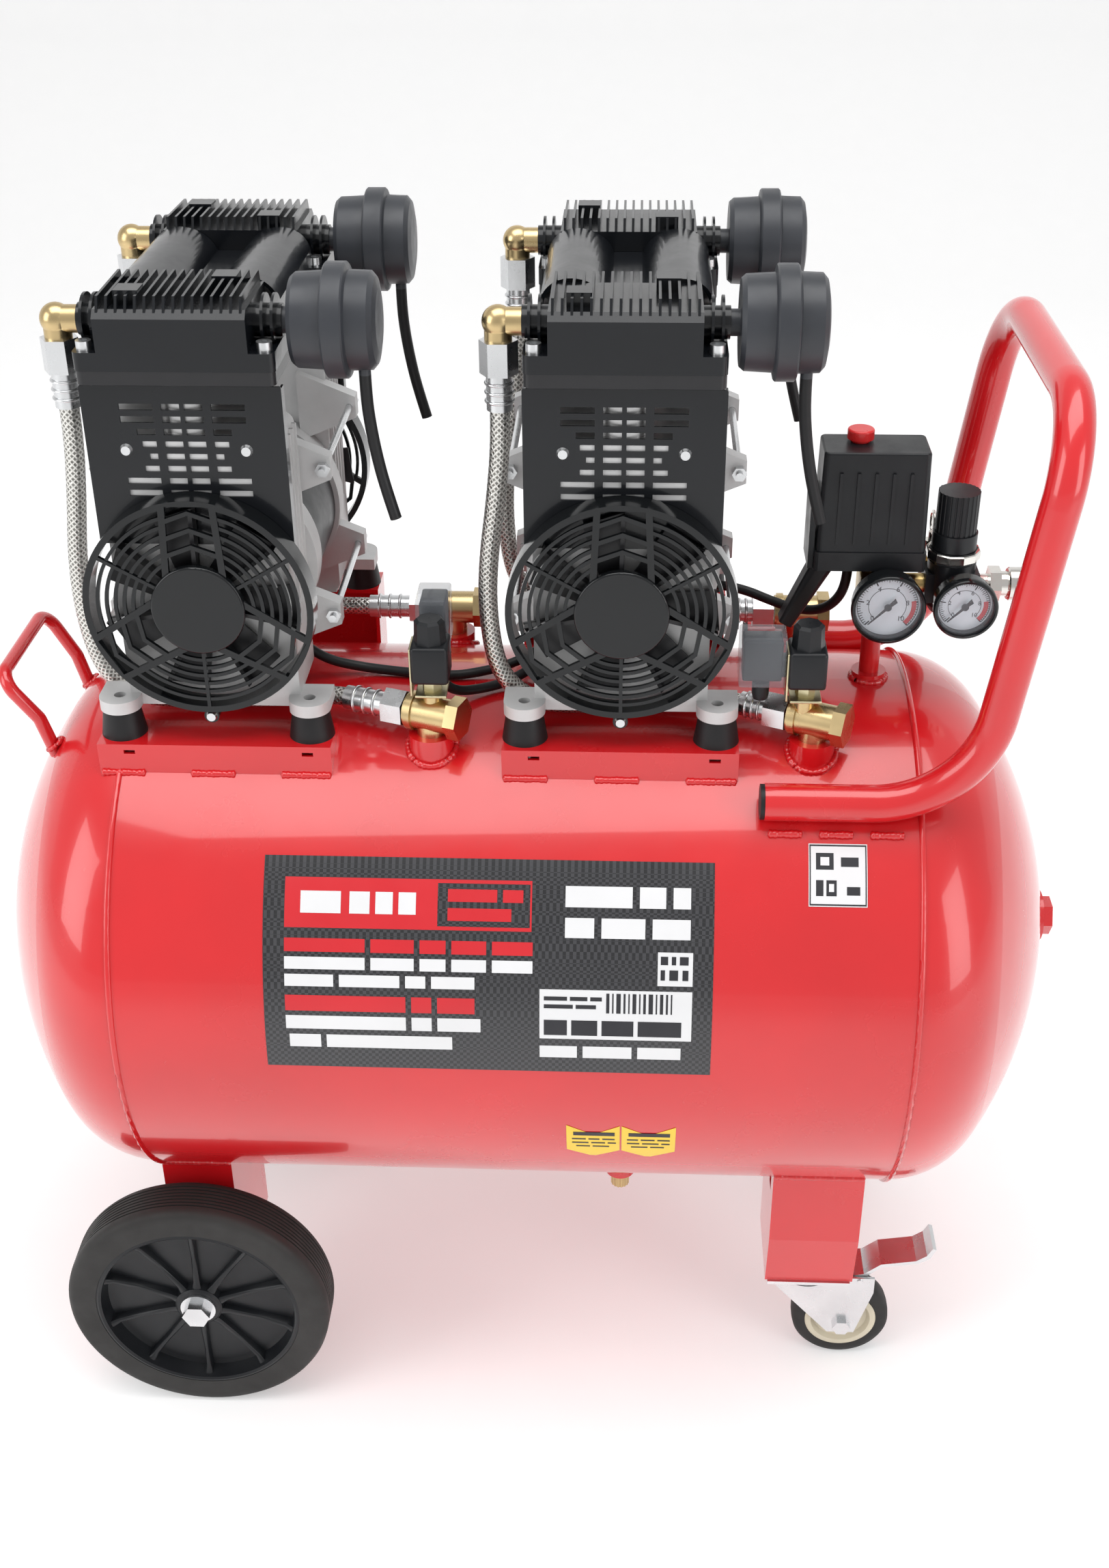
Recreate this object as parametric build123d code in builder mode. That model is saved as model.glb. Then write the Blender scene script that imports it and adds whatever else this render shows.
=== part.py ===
"""Twin stack air compressor: two twin-head oil-free pumps on one horizontal tank.

Frame: +X to the right along the tank, +Y to the rear, +Z up, millimetres.
The origin lies on the floor, at the centre of the whole machine's box.
"""
from build123d import *
from math import cos, pi, radians, sin, sqrt, tan
import os

os.makedirs("parts", exist_ok=True)

# ---------------------------------------------------------------- driving dimensions
# tank
tank_radius = 208.0
tank_length = 562.0  # between the two head seams
crown_radius = 300.0
knuckle_radius = 74.0
tank_wall = 3.0
seam_bead = 2.2
axis_height = 370.0  # tank axis above the floor
plug_reach = 14.0  # end plug beyond the right head

# pumps, four cylinders in two pairs
pump_offsets = (-212.0, 72.5)  # shaft positions from the tank's middle
pump_y = 44.0  # middle of both pumps, behind the tank axis
shaft_rise = 305.5  # shaft above the tank axis
cylinder_y = 98.0  # cylinders from the middle of the pump
head_y = 100.0  # middle of a head from the middle of the pump
crank_front = 124.5  # outer face of a crankcase
crank_depth = 60.0
crank_width = 120.0
crank_top = 112.0
base_drop = 83.0  # underside of the base below the shaft
base_thick = 9.0
foot_x = 67.0
foot_y = 128.0
foot_radius = 16.0
foot_height = 20.0
ear_radius = 14.5
motor_radius = 68.0
motor_wall = 5.0
stator_radius = 64.5
motor_half = 44.0
stator_half = 43.5
rod_x = 78.0
rod_zs = (72.0, -38.0)
rod_radius = 2.5
shaft_radius = 7.5
stroke = 12.0
bore_radius = 23.0
sleeve_wall = 3.0
head_gap = 40.0  # cylinder length between crankcase and head
head_width = 129.0
head_depth_y = 70.0
lower_flange = 9.0  # top flange of a cylinder
flange_thick = 12.0
block_width = 96.6
block_thick = 26.5
fin_height = 8.5
fin_count = 16
fin_thick = 1.7
port_rise = 11.5  # side ports above the head flange

# guards, panels and covers
panel_width = 131.0
panel_thick = 1.5
panel_drop = 109.0
guard_radius = 78.0
guard_depth = 18.0
guard_hub = 32.0
fan_radius = 66.0
fan_blades = 7
cover_width = 114.0
cover_wall = 2.5

# intake filters and their drain tubes
filter_start = 72.0
filter_length = 55.0
filter_radius = 31.5
band_radius = 36.5
drain_radius = 4.0

# hoses and valves
hose_radius = 6.5
elbow_x = 81.5  # hose drop left of the shaft
valve_xs = (-61.0, 207.0)  # check valves from the tank's middle
valve_front_y = -80.0
valve_rear_y = 98.0
valve_front_rise = 218.0
valve_rear_rise = 216.0
valve_turns = (20.0, 24.0)  # front valves turned towards their hoses, left and right
cable_radius = 3.6

# saddles and legs
saddle_width = 165.0
saddle_depth = 36.0
sheet = 3.0
wheel_x = -256.0
wheel_radius = 104.0
wheel_width = 40.0
wheel_face = 190.0  # outer face of each wheel from the tank's middle plane
wheel_leg_width = 55.0
wheel_leg_depth = 98.0
axle_radius = 6.0
caster_x = 230.0
caster_y = 108.0
caster_wheel_radius = 40.0
caster_wheel_width = 26.0
caster_height = 105.0
caster_trail = 32.0
caster_leg_width = 70.0
caster_leg_depth = 80.0

# handles
tube_radius = 13.0
tube_wall = 2.0
handle_y = 128.6
handle_rise = 179.4
handle_start = 172.0
handle_corner = 314.0
handle_top_x = 352.0
handle_top_rise = 456.0
handle_bend = 80.0
crossbar_bend = 58.0
lift_rod = 5.0

# control group
control_x = 254.0
control_y = 5.0
manifold_rise = 281.0
riser_radius = 7.2
switch_width = 76.0
switch_depth = 42.0
switch_height = 86.0
switch_x = 245.0
switch_bottom = 302.0
gauge_big = 26.0
gauge_small = 22.5
gauge_face_y = -34.0
gauge_small_x = 312.0
regulator_x = 306.0
knob_radius = 15.8

# running clearance
gap = 0.4

# ---------------------------------------------------------------- derived places
head_rise = crown_radius - sqrt((crown_radius - knuckle_radius) ** 2 - (tank_radius - knuckle_radius) ** 2)
tank_x = -plug_reach / 2
shaft_z = axis_height + shaft_rise
pump_xs = [tank_x + offset for offset in pump_offsets]
flange_z = crank_top + head_gap
block_z = flange_z + lower_flange + flange_thick
block_top = block_z + block_thick
port_z = block_z + port_rise
head_edge = head_y + head_depth_y / 2
saddle_top = axis_height + shaft_rise - base_drop - foot_height
guard_front = crank_front + panel_thick + 0.5 + guard_depth
grille = 3.0
leg_bottom = 84.0


def tank_surface(y):
    """Height of the tank's outside above the floor at a distance y from its middle plane."""
    return axis_height + sqrt(tank_radius**2 - y**2)


def head_profile(radius, knuckle, crown, reach):
    """Half outline of the vessel, on the XZ plane, revolved about the X axis."""
    half = tank_length / 2
    knuckle_r = radius - knuckle
    centre_x = half + reach - crown
    span = sqrt((crown - knuckle) ** 2 - knuckle_r**2)
    touch_x = centre_x + span * crown / (crown - knuckle)
    touch_r = knuckle_r * crown / (crown - knuckle)
    return half, centre_x, touch_x, touch_r


def vessel(radius, knuckle, crown, reach):
    """Closed dished-end vessel about the X axis, centred on the origin."""
    half, centre_x, touch_x, touch_r = head_profile(radius, knuckle, crown, reach)
    with BuildPart() as body:
        with BuildSketch(Plane.XZ):
            with BuildLine():
                ends = []
                for side in (-1, 1):
                    seam = (side * half, radius)
                    touch = (side * touch_x, touch_r)
                    tip = (side * (half + reach), 0)
                    middle_angle = radians(45)
                    mid_x = half + knuckle * sin(middle_angle)
                    mid_r = radius - knuckle + knuckle * cos(middle_angle)
                    ThreePointArc(seam, (side * mid_x, mid_r), touch)
                    crown_r = touch_r / 2
                    crown_mid = centre_x + sqrt(crown**2 - crown_r**2)
                    ThreePointArc(touch, (side * crown_mid, crown_r), tip)
                    ends.append((seam, tip))
                Line(ends[0][0], ends[1][0])
                Line(ends[0][1], ends[1][1])
            make_face()
        revolve(axis=Axis.X)
    return body.part


with BuildPart() as tank_skin:
    with Locations((tank_x, 0, axis_height)):
        add(vessel(tank_radius, knuckle_radius, crown_radius, head_rise))
    with Locations((tank_x - tank_length / 2, 0, axis_height), (tank_x + tank_length / 2, 0, axis_height)):
        Torus(tank_radius, seam_bead, rotation=(0, 90, 0))
tank_outside = tank_skin.part
inner_knuckle = knuckle_radius - tank_wall
inner_crown = crown_radius - tank_wall
tank_inside = vessel(tank_radius - tank_wall, inner_knuckle, inner_crown, head_rise - tank_wall).moved(
    Location((tank_x, 0, axis_height))
)


def tube_along(points, radius):
    """Round solid along straight runs joined by the largest arcs that the runs allow."""
    vectors = [Vector(point) for point in points]
    radii = []
    for before, here, after in zip(vectors, vectors[1:], vectors[2:]):
        turn = (here - before).get_angle(after - here)
        shorter = min((here - before).length, (after - here).length)
        radii.append(0.45 * shorter / tan(radians(turn) / 2))
    with BuildPart() as tube:
        with BuildLine() as path:
            FilletPolyline(*vectors, radius=radii)
        with BuildSketch(Plane(origin=path.line @ 0, z_dir=path.line % 0)):
            Circle(radius)
        sweep()
    length = sum(edge.length for edge in path.edges())
    share = tube.part.volume / (pi * radius**2 * length)
    print("tube", round(length, 1), "mm, smallest arc", round(min(radii), 1), "share", round(share, 4))
    return tube.part


def rear_copy(part):
    """Mirror image of a front piece about a pump's middle plane."""
    return part.mirror(Plane.XZ)


def hexagon(plane, across, depth):
    """Hexagonal prism on a plane."""
    with BuildPart() as prism:
        with BuildSketch(plane):
            RegularPolygon(across / 2, 6, major_radius=False)
        extrude(amount=depth)
    return prism.part


# ---------------------------------------------------------------- tank
with BuildPart() as tank:
    add(tank_outside)
    add(tank_inside, mode=Mode.SUBTRACT)
tank.part.label = "tank"
export_step(tank.part, "parts/tank.step")

# welded bosses: four valve bosses, riser socket, end plug boss, drain boss
boss_radius = 16.0
boss_front_top = axis_height + 203.0
boss_rear_top = axis_height + 196.0
drain_x = tank_x + 77.0
drain_y = -75.0
plug_hex = 26.0
drain_top = 2 * axis_height - tank_surface(drain_y)
drain_bottom = drain_top - 16.0
drain_bore = 4.5
with BuildPart() as tank_ports:
    for offset in valve_xs:
        for y, top in ((valve_front_y, boss_front_top), (valve_rear_y, boss_rear_top)):
            with BuildSketch(Plane.XY.offset(top)):
                with Locations((tank_x + offset, y)):
                    Circle(boss_radius)
            extrude(amount=-45)
    with BuildSketch(Plane.XY.offset(axis_height + tank_radius + 6)):
        with Locations((tank_x + control_x, control_y)):
            Circle(12.5)
    extrude(amount=-20)
    with BuildSketch(Plane.YZ.offset(tank_x + tank_length / 2 + head_rise + plug_reach - 8)):
        with Locations((0, axis_height)):
            Circle(20)
    extrude(amount=-30)
    with BuildSketch(Plane.XY.offset(drain_bottom)):
        with Locations((drain_x, drain_y)):
            Circle(12)
    extrude(amount=40)
    add(tank_outside, mode=Mode.SUBTRACT)
    plug_plane = Plane.YZ.offset(tank_x + tank_length / 2 + head_rise + plug_reach - 8)
    with BuildSketch(plug_plane):
        with Locations((0, axis_height)):
            RegularPolygon(plug_hex / 2, 6, major_radius=False)
    extrude(amount=8)
    with BuildSketch(Plane.XY.offset(drain_bottom)):
        with Locations((drain_x, drain_y)):
            Circle(drain_bore)
    extrude(amount=40, mode=Mode.SUBTRACT)
    with BuildSketch(Plane.XY.offset(axis_height + tank_radius + 6)):
        with Locations((tank_x + control_x, control_y)):
            Circle(riser_radius)
    extrude(amount=-30, mode=Mode.SUBTRACT)
tank_ports.part.label = "tank_ports"
export_step(tank_ports.part, "parts/tank_ports.step")

# drain screw in its boss
screw_radius = drain_bore - 0.05
with BuildPart() as drain_screw:
    with BuildSketch(Plane.XY.offset(drain_bottom - 3)):
        with Locations((drain_x, drain_y)):
            Circle(screw_radius)
    extrude(amount=14)
    with BuildSketch(Plane.XY.offset(drain_bottom - 14)):
        with Locations((drain_x, drain_y)):
            Circle(7.5)
            with PolarLocations(7.7, 16):
                Circle(0.8, mode=Mode.SUBTRACT)
    extrude(amount=11)
drain_screw.part.label = "drain_screw"
export_step(drain_screw.part, "parts/drain_screw.step")


# ---------------------------------------------------------------- saddles under the pumps
def saddle(side):
    """Folded sheet strip under one pair of feet; side is -1 at the front and 1 at the rear."""
    edge = pump_y + side * (foot_y + 20)
    centre_y = edge - side * saddle_depth / 2
    with BuildPart() as strip:
        with Locations((0, centre_y, saddle_top - 70)):
            Box(saddle_width, saddle_depth, 140)
        with Locations((0, centre_y - side * sheet, saddle_top - 70 - sheet)):
            Box(saddle_width - 2 * sheet, saddle_depth, 140, mode=Mode.SUBTRACT)
        with Locations((-60, edge, saddle_top - 6), (66, edge, saddle_top - 6)):
            Box(8, 4 * sheet, 3, mode=Mode.SUBTRACT)
        with Locations(Location((-foot_x, pump_y + side * foot_y, saddle_top)),
                       Location((foot_x, pump_y + side * foot_y, saddle_top))):
            Cylinder(4.2, 20, mode=Mode.SUBTRACT)
    return strip.part


front_saddle = saddle(-1)
rear_saddle = saddle(1)
with BuildPart() as saddles:
    for x in pump_xs:
        with Locations((x, 0, 0)):
            add(front_saddle)
            add(rear_saddle)
    add(tank_outside, mode=Mode.SUBTRACT)
saddles.part.label = "saddles"
export_step(saddles.part, "parts/saddles.step")


# ---------------------------------------------------------------- legs
def box_leg(side, width, depth, front, bottom, foot_setback, fold_z, floor):
    """Folded box leg; its outer face is at front from the middle plane, cut later to the tank."""
    top = axis_height
    outline = [(-front, top), (-front, fold_z), (-front + foot_setback, bottom), (-front + depth, bottom),
               (-front + depth, top)]
    with BuildPart() as leg:
        with BuildSketch(Plane.YZ.offset(-width / 2)):
            with BuildLine():
                Polyline(*outline, close=True)
            make_face()
        extrude(amount=width)
        inner_floor = bottom + (sheet if floor else -1)
        inside = [(-front + sheet, top + 1), (-front + sheet, fold_z), (-front + foot_setback + sheet, inner_floor),
                  (-front + depth - sheet, inner_floor), (-front + depth - sheet, top + 1)]
        with BuildSketch(Plane.YZ.offset(-width / 2 + sheet)):
            with BuildLine():
                Polyline(*inside, close=True)
            make_face()
        extrude(amount=width - 2 * sheet, mode=Mode.SUBTRACT)
    if side > 0:
        return rear_copy(leg.part)
    return leg.part


leg_front = 150.0
wheel_leg_front = 138.0
wheel_legs = [box_leg(side, wheel_leg_width, wheel_leg_depth, wheel_leg_front, leg_bottom, 0, 150, False)
              for side in (-1, 1)]
caster_legs = [box_leg(side, caster_leg_width, caster_leg_depth, leg_front, caster_height, 10, 159, True)
               for side in (-1, 1)]
with BuildPart() as chassis_legs:
    for side, wheel_leg, caster_leg in zip((-1, 1), wheel_legs, caster_legs):
        with Locations((tank_x + wheel_x, 0, 0)):
            add(wheel_leg)
        with Locations((tank_x + caster_x, 0, 0)):
            add(caster_leg)
        with Locations((tank_x + caster_x - caster_leg_width / 2, side * (leg_front - 22), 205)):
            Box(12, 12, 18, mode=Mode.SUBTRACT)
        with Locations(Location((tank_x + wheel_x, side * wheel_leg_front, wheel_radius), (90, 0, 0))):
            Cylinder(axle_radius + 0.05, 12, mode=Mode.SUBTRACT)
    add(tank_outside, mode=Mode.SUBTRACT)
chassis_legs.part.label = "chassis_legs"
export_step(chassis_legs.part, "parts/chassis_legs.step")

# ---------------------------------------------------------------- handles
handle_points = [
    (tank_x + handle_start, -handle_y, axis_height + handle_rise),
    (tank_x + handle_corner, -handle_y, axis_height + handle_rise),
    (tank_x + handle_top_x, -handle_y, axis_height + handle_top_rise),
    (tank_x + handle_top_x, handle_y, axis_height + handle_top_rise),
    (tank_x + handle_corner, handle_y, axis_height + handle_rise),
    (tank_x + handle_start, handle_y, axis_height + handle_rise),
]
with BuildPart() as main_handle:
    with BuildLine() as handle_path:
        FilletPolyline(*handle_points, radius=[handle_bend, crossbar_bend, crossbar_bend, handle_bend])
    with BuildSketch(Plane(origin=handle_path.line @ 0, z_dir=handle_path.line % 0)):
        Circle(tube_radius)
        Circle(tube_radius - tube_wall, mode=Mode.SUBTRACT)
    sweep()
    add(tank_outside, mode=Mode.SUBTRACT)
main_handle.part.label = "main_handle"
export_step(main_handle.part, "parts/main_handle.step")

lift_points = [
    (tank_x - 344, -50, axis_height + 163),
    (tank_x - 352, -51, axis_height + 193),
    (tank_x - 374, -56, axis_height + 228),
    (tank_x - 374, 56, axis_height + 228),
    (tank_x - 352, 51, axis_height + 193),
    (tank_x - 344, 50, axis_height + 163),
]
with BuildPart() as lifting_handle:
    with BuildLine() as lift_path:
        FilletPolyline(*lift_points, radius=[12, 14, 14, 12])
    with BuildSketch(Plane(origin=lift_path.line @ 0, z_dir=lift_path.line % 0)):
        Circle(lift_rod)
    sweep()
    add(tank_outside, mode=Mode.SUBTRACT)
lifting_handle.part.label = "lifting_handle"
export_step(lifting_handle.part, "parts/lifting_handle.step")

# ---------------------------------------------------------------- rubber feet and handle end caps
with BuildPart() as foot:
    with BuildSketch(Plane.XZ):
        with BuildLine():
            Polyline((4.2, 0), (foot_radius, 0), (foot_radius - 3, foot_height), (4.2, foot_height), close=True)
        make_face()
    revolve(axis=Axis.Z)
with BuildPart() as end_cap:
    with BuildSketch(Plane.YZ):
        Circle(tube_radius - 0.6)
    extrude(amount=-3)
    with BuildSketch(Plane.YZ):
        Circle(tube_radius - tube_wall)
        Circle(tube_radius - tube_wall - 2, mode=Mode.SUBTRACT)
    extrude(amount=12)
with BuildPart() as rubber_feet:
    for x in pump_xs:
        with Locations((x, pump_y, saddle_top)):
            with GridLocations(2 * foot_x, 2 * foot_y, 2, 2):
                add(foot.part)
    for side in (-1, 1):
        with Locations((tank_x + handle_start, side * handle_y, axis_height + handle_rise)):
            add(end_cap.part)
rubber_feet.part.label = "rubber_feet"
export_step(rubber_feet.part, "parts/rubber_feet.step")

# ---------------------------------------------------------------- crankcases
panel_top = flange_z - 3
panel_screw_x = 39.5
panel_screw_z = panel_top - 43
guard_screw_z = -guard_radius - 4.5
screw_hole = 2.1
screw_spots = ((-panel_screw_x, panel_screw_z), (panel_screw_x, panel_screw_z), (0, guard_screw_z))
cavity_radius = 41.0
cavity_front = 8.0
cavity_rear = 7.0
bearing_radius = 13.0
crank_rear = crank_front - crank_depth
with BuildPart() as crankcase:
    with BuildSketch(Plane.XZ.offset(crank_front)):
        with Locations((0, (crank_top - base_drop) / 2)):
            RectangleRounded(crank_width, crank_top + base_drop, 9)
    extrude(amount=-crank_depth)
    with BuildSketch(Plane.XZ.offset(crank_rear)):
        Circle(motor_radius)
    extrude(amount=-(crank_rear - motor_half))
    # lugs for the tie rods
    for rod_z in rod_zs:
        for lug_side in (-1, 1):
            with BuildSketch(Plane.XZ.offset(crank_rear + 4)):
                with BuildLine():
                    Polyline((lug_side * 40, rod_z + 26), (lug_side * (rod_x + 5), rod_z + 8),
                             (lug_side * (rod_x + 5), rod_z - 8), (lug_side * 40, rod_z - 26), close=True)
                make_face()
            extrude(amount=-12)
    # base flange with rounded ears round the feet
    with BuildSketch(Plane.XY.offset(-base_drop)):
        with Locations((0, -(crank_front + crank_rear) / 2)):
            Rectangle(crank_width - 6, crank_depth)
        with Locations((-foot_x, -foot_y), (foot_x, -foot_y)):
            Circle(ear_radius)
        with Locations((-foot_x, -foot_y + 10), (foot_x, -foot_y + 10)):
            Rectangle(2 * ear_radius, 20)
    extrude(amount=base_thick)
    # ribs down both sides
    for rib_side in (-1, 1):
        with Locations(*[(rib_side * crank_width / 2, -crank_rear - 8 - 11 * k, 45) for k in range(4)]):
            Box(5, 2.6, 122)
    # crank cavity, cylinder bore, bearing seats, motor bell and foot holes
    with BuildSketch(Plane.XZ.offset(crank_front - cavity_front)):
        Circle(cavity_radius)
        with Locations((0, (crank_top + 10) / 2)):
            Rectangle(2 * bore_radius, crank_top + 10)
    extrude(amount=-(crank_depth - cavity_front - cavity_rear), mode=Mode.SUBTRACT)
    with BuildSketch(Plane.XZ.offset(crank_rear - 3)):
        Circle(motor_radius - motor_wall)
    extrude(amount=-60, mode=Mode.SUBTRACT)
    with BuildSketch(Plane.XZ.offset(crank_front + 1)):
        Circle(bearing_radius)
    extrude(amount=-(crank_depth + 5), mode=Mode.SUBTRACT)
    with Locations((-foot_x, -foot_y, -base_drop), (foot_x, -foot_y, -base_drop)):
        Cylinder(4.2, 4 * base_thick, mode=Mode.SUBTRACT)
    with Locations(*[Location((s * rod_x, -crank_rear, z), (90, 0, 0)) for s in (-1, 1) for z in rod_zs]):
        Cylinder(rod_radius + 0.1, 60, mode=Mode.SUBTRACT)
    # threaded holes for the panel screws and the guard screw
    with Locations(*[Location((x, -crank_front, z), (90, 0, 0)) for x, z in screw_spots]):
        Cylinder(screw_hole, 20, mode=Mode.SUBTRACT)
with BuildPart() as crankcases:
    for x in pump_xs:
        with Locations((x, pump_y, shaft_z)):
            add(crankcase.part)
            add(rear_copy(crankcase.part))
crankcases.part.label = "crankcases"
export_step(crankcases.part, "parts/crankcases.step")

# ---------------------------------------------------------------- motors
gland_y = 60.0
gland_z = shaft_z - 50
gland_reach = 54.0
with BuildPart() as motor_stators:
    for x in pump_xs:
        with BuildSketch(Plane.XZ.offset(-(pump_y - stator_half))):
            with Locations((x, shaft_z)):
                Circle(stator_radius)
                Circle(39, mode=Mode.SUBTRACT)
                with PolarLocations(43, 12):
                    Circle(3.4, mode=Mode.SUBTRACT)
        extrude(amount=-2 * stator_half)
    # cable gland on the right motor
    with BuildSketch(Plane.YZ.offset(pump_xs[1] + 30)):
        with Locations((gland_y, gland_z)):
            Circle(6)
    extrude(amount=gland_reach - 30)
motor_stators.part.label = "motor_stators"
export_step(motor_stators.part, "parts/motor_stators.step")

# shaft, rotor, two crank pins and both fans turn as one piece
pin_offset = stroke / 2
pin_radius = 6.0
web_radius = pin_offset + pin_radius + 0.5
eye_room = 5.0  # around the pin's whole travel in the big end
shaft_half = guard_front - grille - 2.0
fan_thick = 10.0
fan_back = crank_front + panel_thick + 2.5
with BuildPart() as fan:
    with BuildSketch(Plane.XZ.offset(fan_back)):
        Circle(17)
        Circle(shaft_radius + 2, mode=Mode.SUBTRACT)
    extrude(amount=fan_thick)
    with BuildSketch(Plane.XZ.offset(fan_back)):
        with PolarLocations(0, fan_blades):
            Polygon((14, -4), (fan_radius, -17), (fan_radius - 3, 13), (14, 9), align=None)
    extrude(amount=2.2)
    with BuildSketch(Plane.XZ.offset(fan_back)):
        with PolarLocations(0, fan_blades):
            Polygon((15, -4), (fan_radius - 1, -16.5), (fan_radius - 1.5, -13.5), (15, -1), align=None)
    extrude(amount=fan_thick)
with BuildPart() as rotor:
    with BuildSketch(Plane.XZ.offset(shaft_half)):
        Circle(shaft_radius)
    extrude(amount=-(shaft_half - cylinder_y - 8))
    with BuildSketch(Plane.XZ.offset(cylinder_y - 8)):
        Circle(shaft_radius)
    extrude(amount=-2 * (cylinder_y - 8))
    with BuildSketch(Plane.XZ.offset(-(cylinder_y + 8))):
        Circle(shaft_radius)
    extrude(amount=-(shaft_half - cylinder_y - 8))
    with BuildSketch(Plane.XZ.offset(41)):
        Circle(38.5)
    extrude(amount=-82)
    for side in (-1, 1):
        for web_y in (cylinder_y - 9, cylinder_y + 9):
            with Locations(Location((0, side * web_y, 0), (90, 0, 0))):
                Cylinder(web_radius, 3)
        with Locations(Location((0, side * cylinder_y, side * pin_offset), (90, 0, 0))):
            Cylinder(pin_radius, 18)
    with BuildSketch(Plane.XZ.offset(fan_back)):
        Circle(shaft_radius + 2.2)
    extrude(amount=fan_thick)
    with BuildSketch(Plane.XZ.offset(-fan_back)):
        Circle(shaft_radius + 2.2)
    extrude(amount=-fan_thick)
    add(fan.part)
    add(rear_copy(fan.part))
for name, x in zip(("left_rotor", "right_rotor"), pump_xs):
    with BuildPart() as placed_rotor:
        with Locations((x, pump_y, shaft_z)):
            add(rotor.part)
    placed_rotor.part.label = name
    export_step(placed_rotor.part, f"parts/{name}.step")

# ---------------------------------------------------------------- cylinders and pistons
sleeve_radius = bore_radius + sleeve_wall
head_bolt_x = head_width / 2 - 7
head_bolt_y = head_depth_y / 2 - 8
with BuildPart() as cylinder:
    with BuildSketch(Plane.XY.offset(crank_top)):
        Circle(sleeve_radius)
    extrude(amount=head_gap)
    for k in range(5):
        with BuildSketch(Plane.XY.offset(crank_top + 2 + k * 8.2)):
            RectangleRounded(96, 2 * (crank_front - cylinder_y) - 1, 6)
        extrude(amount=2)
    with BuildSketch(Plane.XY.offset(flange_z)):
        with Locations((0, cylinder_y - head_y)):
            RectangleRounded(head_width - 1, head_depth_y - 1, 5)
    extrude(amount=lower_flange)
    with BuildSketch(Plane.XY.offset(crank_top)):
        Circle(bore_radius)
    extrude(amount=head_gap + lower_flange, mode=Mode.SUBTRACT)
    with Locations(*[(sx * head_bolt_x, cylinder_y - head_y + sy * head_bolt_y, flange_z)
                     for sx in (-1, 1) for sy in (-1, 1)]):
        Cylinder(3.2, 40, mode=Mode.SUBTRACT)
rear_cylinder = rear_copy(cylinder.part)
with BuildPart() as cylinders:
    for x in pump_xs:
        with Locations((x, pump_y - cylinder_y, shaft_z)):
            add(cylinder.part)
        with Locations((x, pump_y + cylinder_y, shaft_z)):
            add(rear_cylinder)
cylinders.part.label = "cylinders"
export_step(cylinders.part, "parts/cylinders.step")

eye_radius = 28.0
eye_bore = pin_radius + 2 * pin_offset + eye_room
piston_low = crank_top + 8
with BuildPart() as piston:
    with BuildSketch(Plane.XZ.offset(5)):
        with Locations((0, -pin_offset)):
            Circle(eye_radius)
        with Locations((0, piston_low / 2)):
            Rectangle(16, piston_low)
        with Locations((0, -pin_offset)):
            Circle(eye_bore, mode=Mode.SUBTRACT)
    extrude(amount=-10)
    with BuildSketch(Plane.XY.offset(piston_low - 1)):
        Circle(bore_radius - gap)
    extrude(amount=7)
piston_names = ("left_front_piston", "left_rear_piston", "right_front_piston", "right_rear_piston")
piston_spots = []
for x in pump_xs:
    piston_spots.append((x, pump_y - cylinder_y, shaft_z))
    piston_spots.append((x, pump_y + cylinder_y, shaft_z + stroke))
for name, spot in zip(piston_names, piston_spots):
    with BuildPart() as placed_piston:
        with Locations(spot):
            add(piston.part)
    placed_piston.part.label = name
    export_step(placed_piston.part, f"parts/{name}.step")

# ---------------------------------------------------------------- cylinder heads
boss_r = 10.5
with BuildPart() as head:
    with BuildSketch(Plane.XY.offset(flange_z + lower_flange)):
        with Locations((0, -head_y)):
            RectangleRounded(head_width, head_depth_y, 5)
    extrude(amount=flange_thick)
    with BuildSketch(Plane.XY.offset(block_z)):
        with Locations((0, -head_y)):
            Rectangle(block_width, head_depth_y)
    extrude(amount=block_thick)
    front_edges = head.edges().filter_by(Axis.X).group_by(Axis.Z)[-1].sort_by(Axis.Y)
    chamfer(front_edges[0], 5)
    # lengthwise fins, lower at the front
    fin_pitch = (block_width - 6) / (fin_count - 1)
    for k in range(fin_count):
        with BuildSketch(Plane.YZ.offset(-fin_pitch * (fin_count - 1) / 2 + k * fin_pitch - fin_thick / 2)):
            with BuildLine():
                Polyline((-head_edge + 1, block_top - 6), (-head_edge + 8, block_top + fin_height - 1),
                         (-head_edge + head_depth_y - 4, block_top + fin_height),
                         (-head_edge + head_depth_y - 1, block_top - 1), close=True)
            make_face()
        extrude(amount=fin_thick)
    # two square pads among the fins
    with Locations((-29, -head_y - 12, block_top + 4.5), (27, -head_y + 21, block_top + 4.5)):
        Box(16, 16, 9)
    # side ports with round cooling discs
    with Locations(Location((0, -head_y, port_z), (0, 90, 0))):
        Cylinder(boss_r, head_width + 3)
    for disc_x in (-61, -54.5, 54.5, 61):
        with Locations(Location((disc_x, -head_y, port_z), (0, 90, 0))):
            Cylinder(17, 1.8)
    with Locations(*[(sx * head_bolt_x, -head_y + sy * head_bolt_y, block_z)
                     for sx in (-1, 1) for sy in (-1, 1)]):
        Cylinder(3.2, 40, mode=Mode.SUBTRACT)
with BuildPart() as cylinder_heads:
    for x in pump_xs:
        with Locations((x, pump_y, shaft_z)):
            add(head.part)
            add(rear_copy(head.part))
cylinder_heads.part.label = "cylinder_heads"
export_step(cylinder_heads.part, "parts/cylinder_heads.step")

# ---------------------------------------------------------------- humped covers between the heads
cover_half = head_y - head_depth_y / 2 - 0.5
cover_bottom = flange_z - 6
cover_top = block_top + 1
hump_x = 31.0


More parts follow.
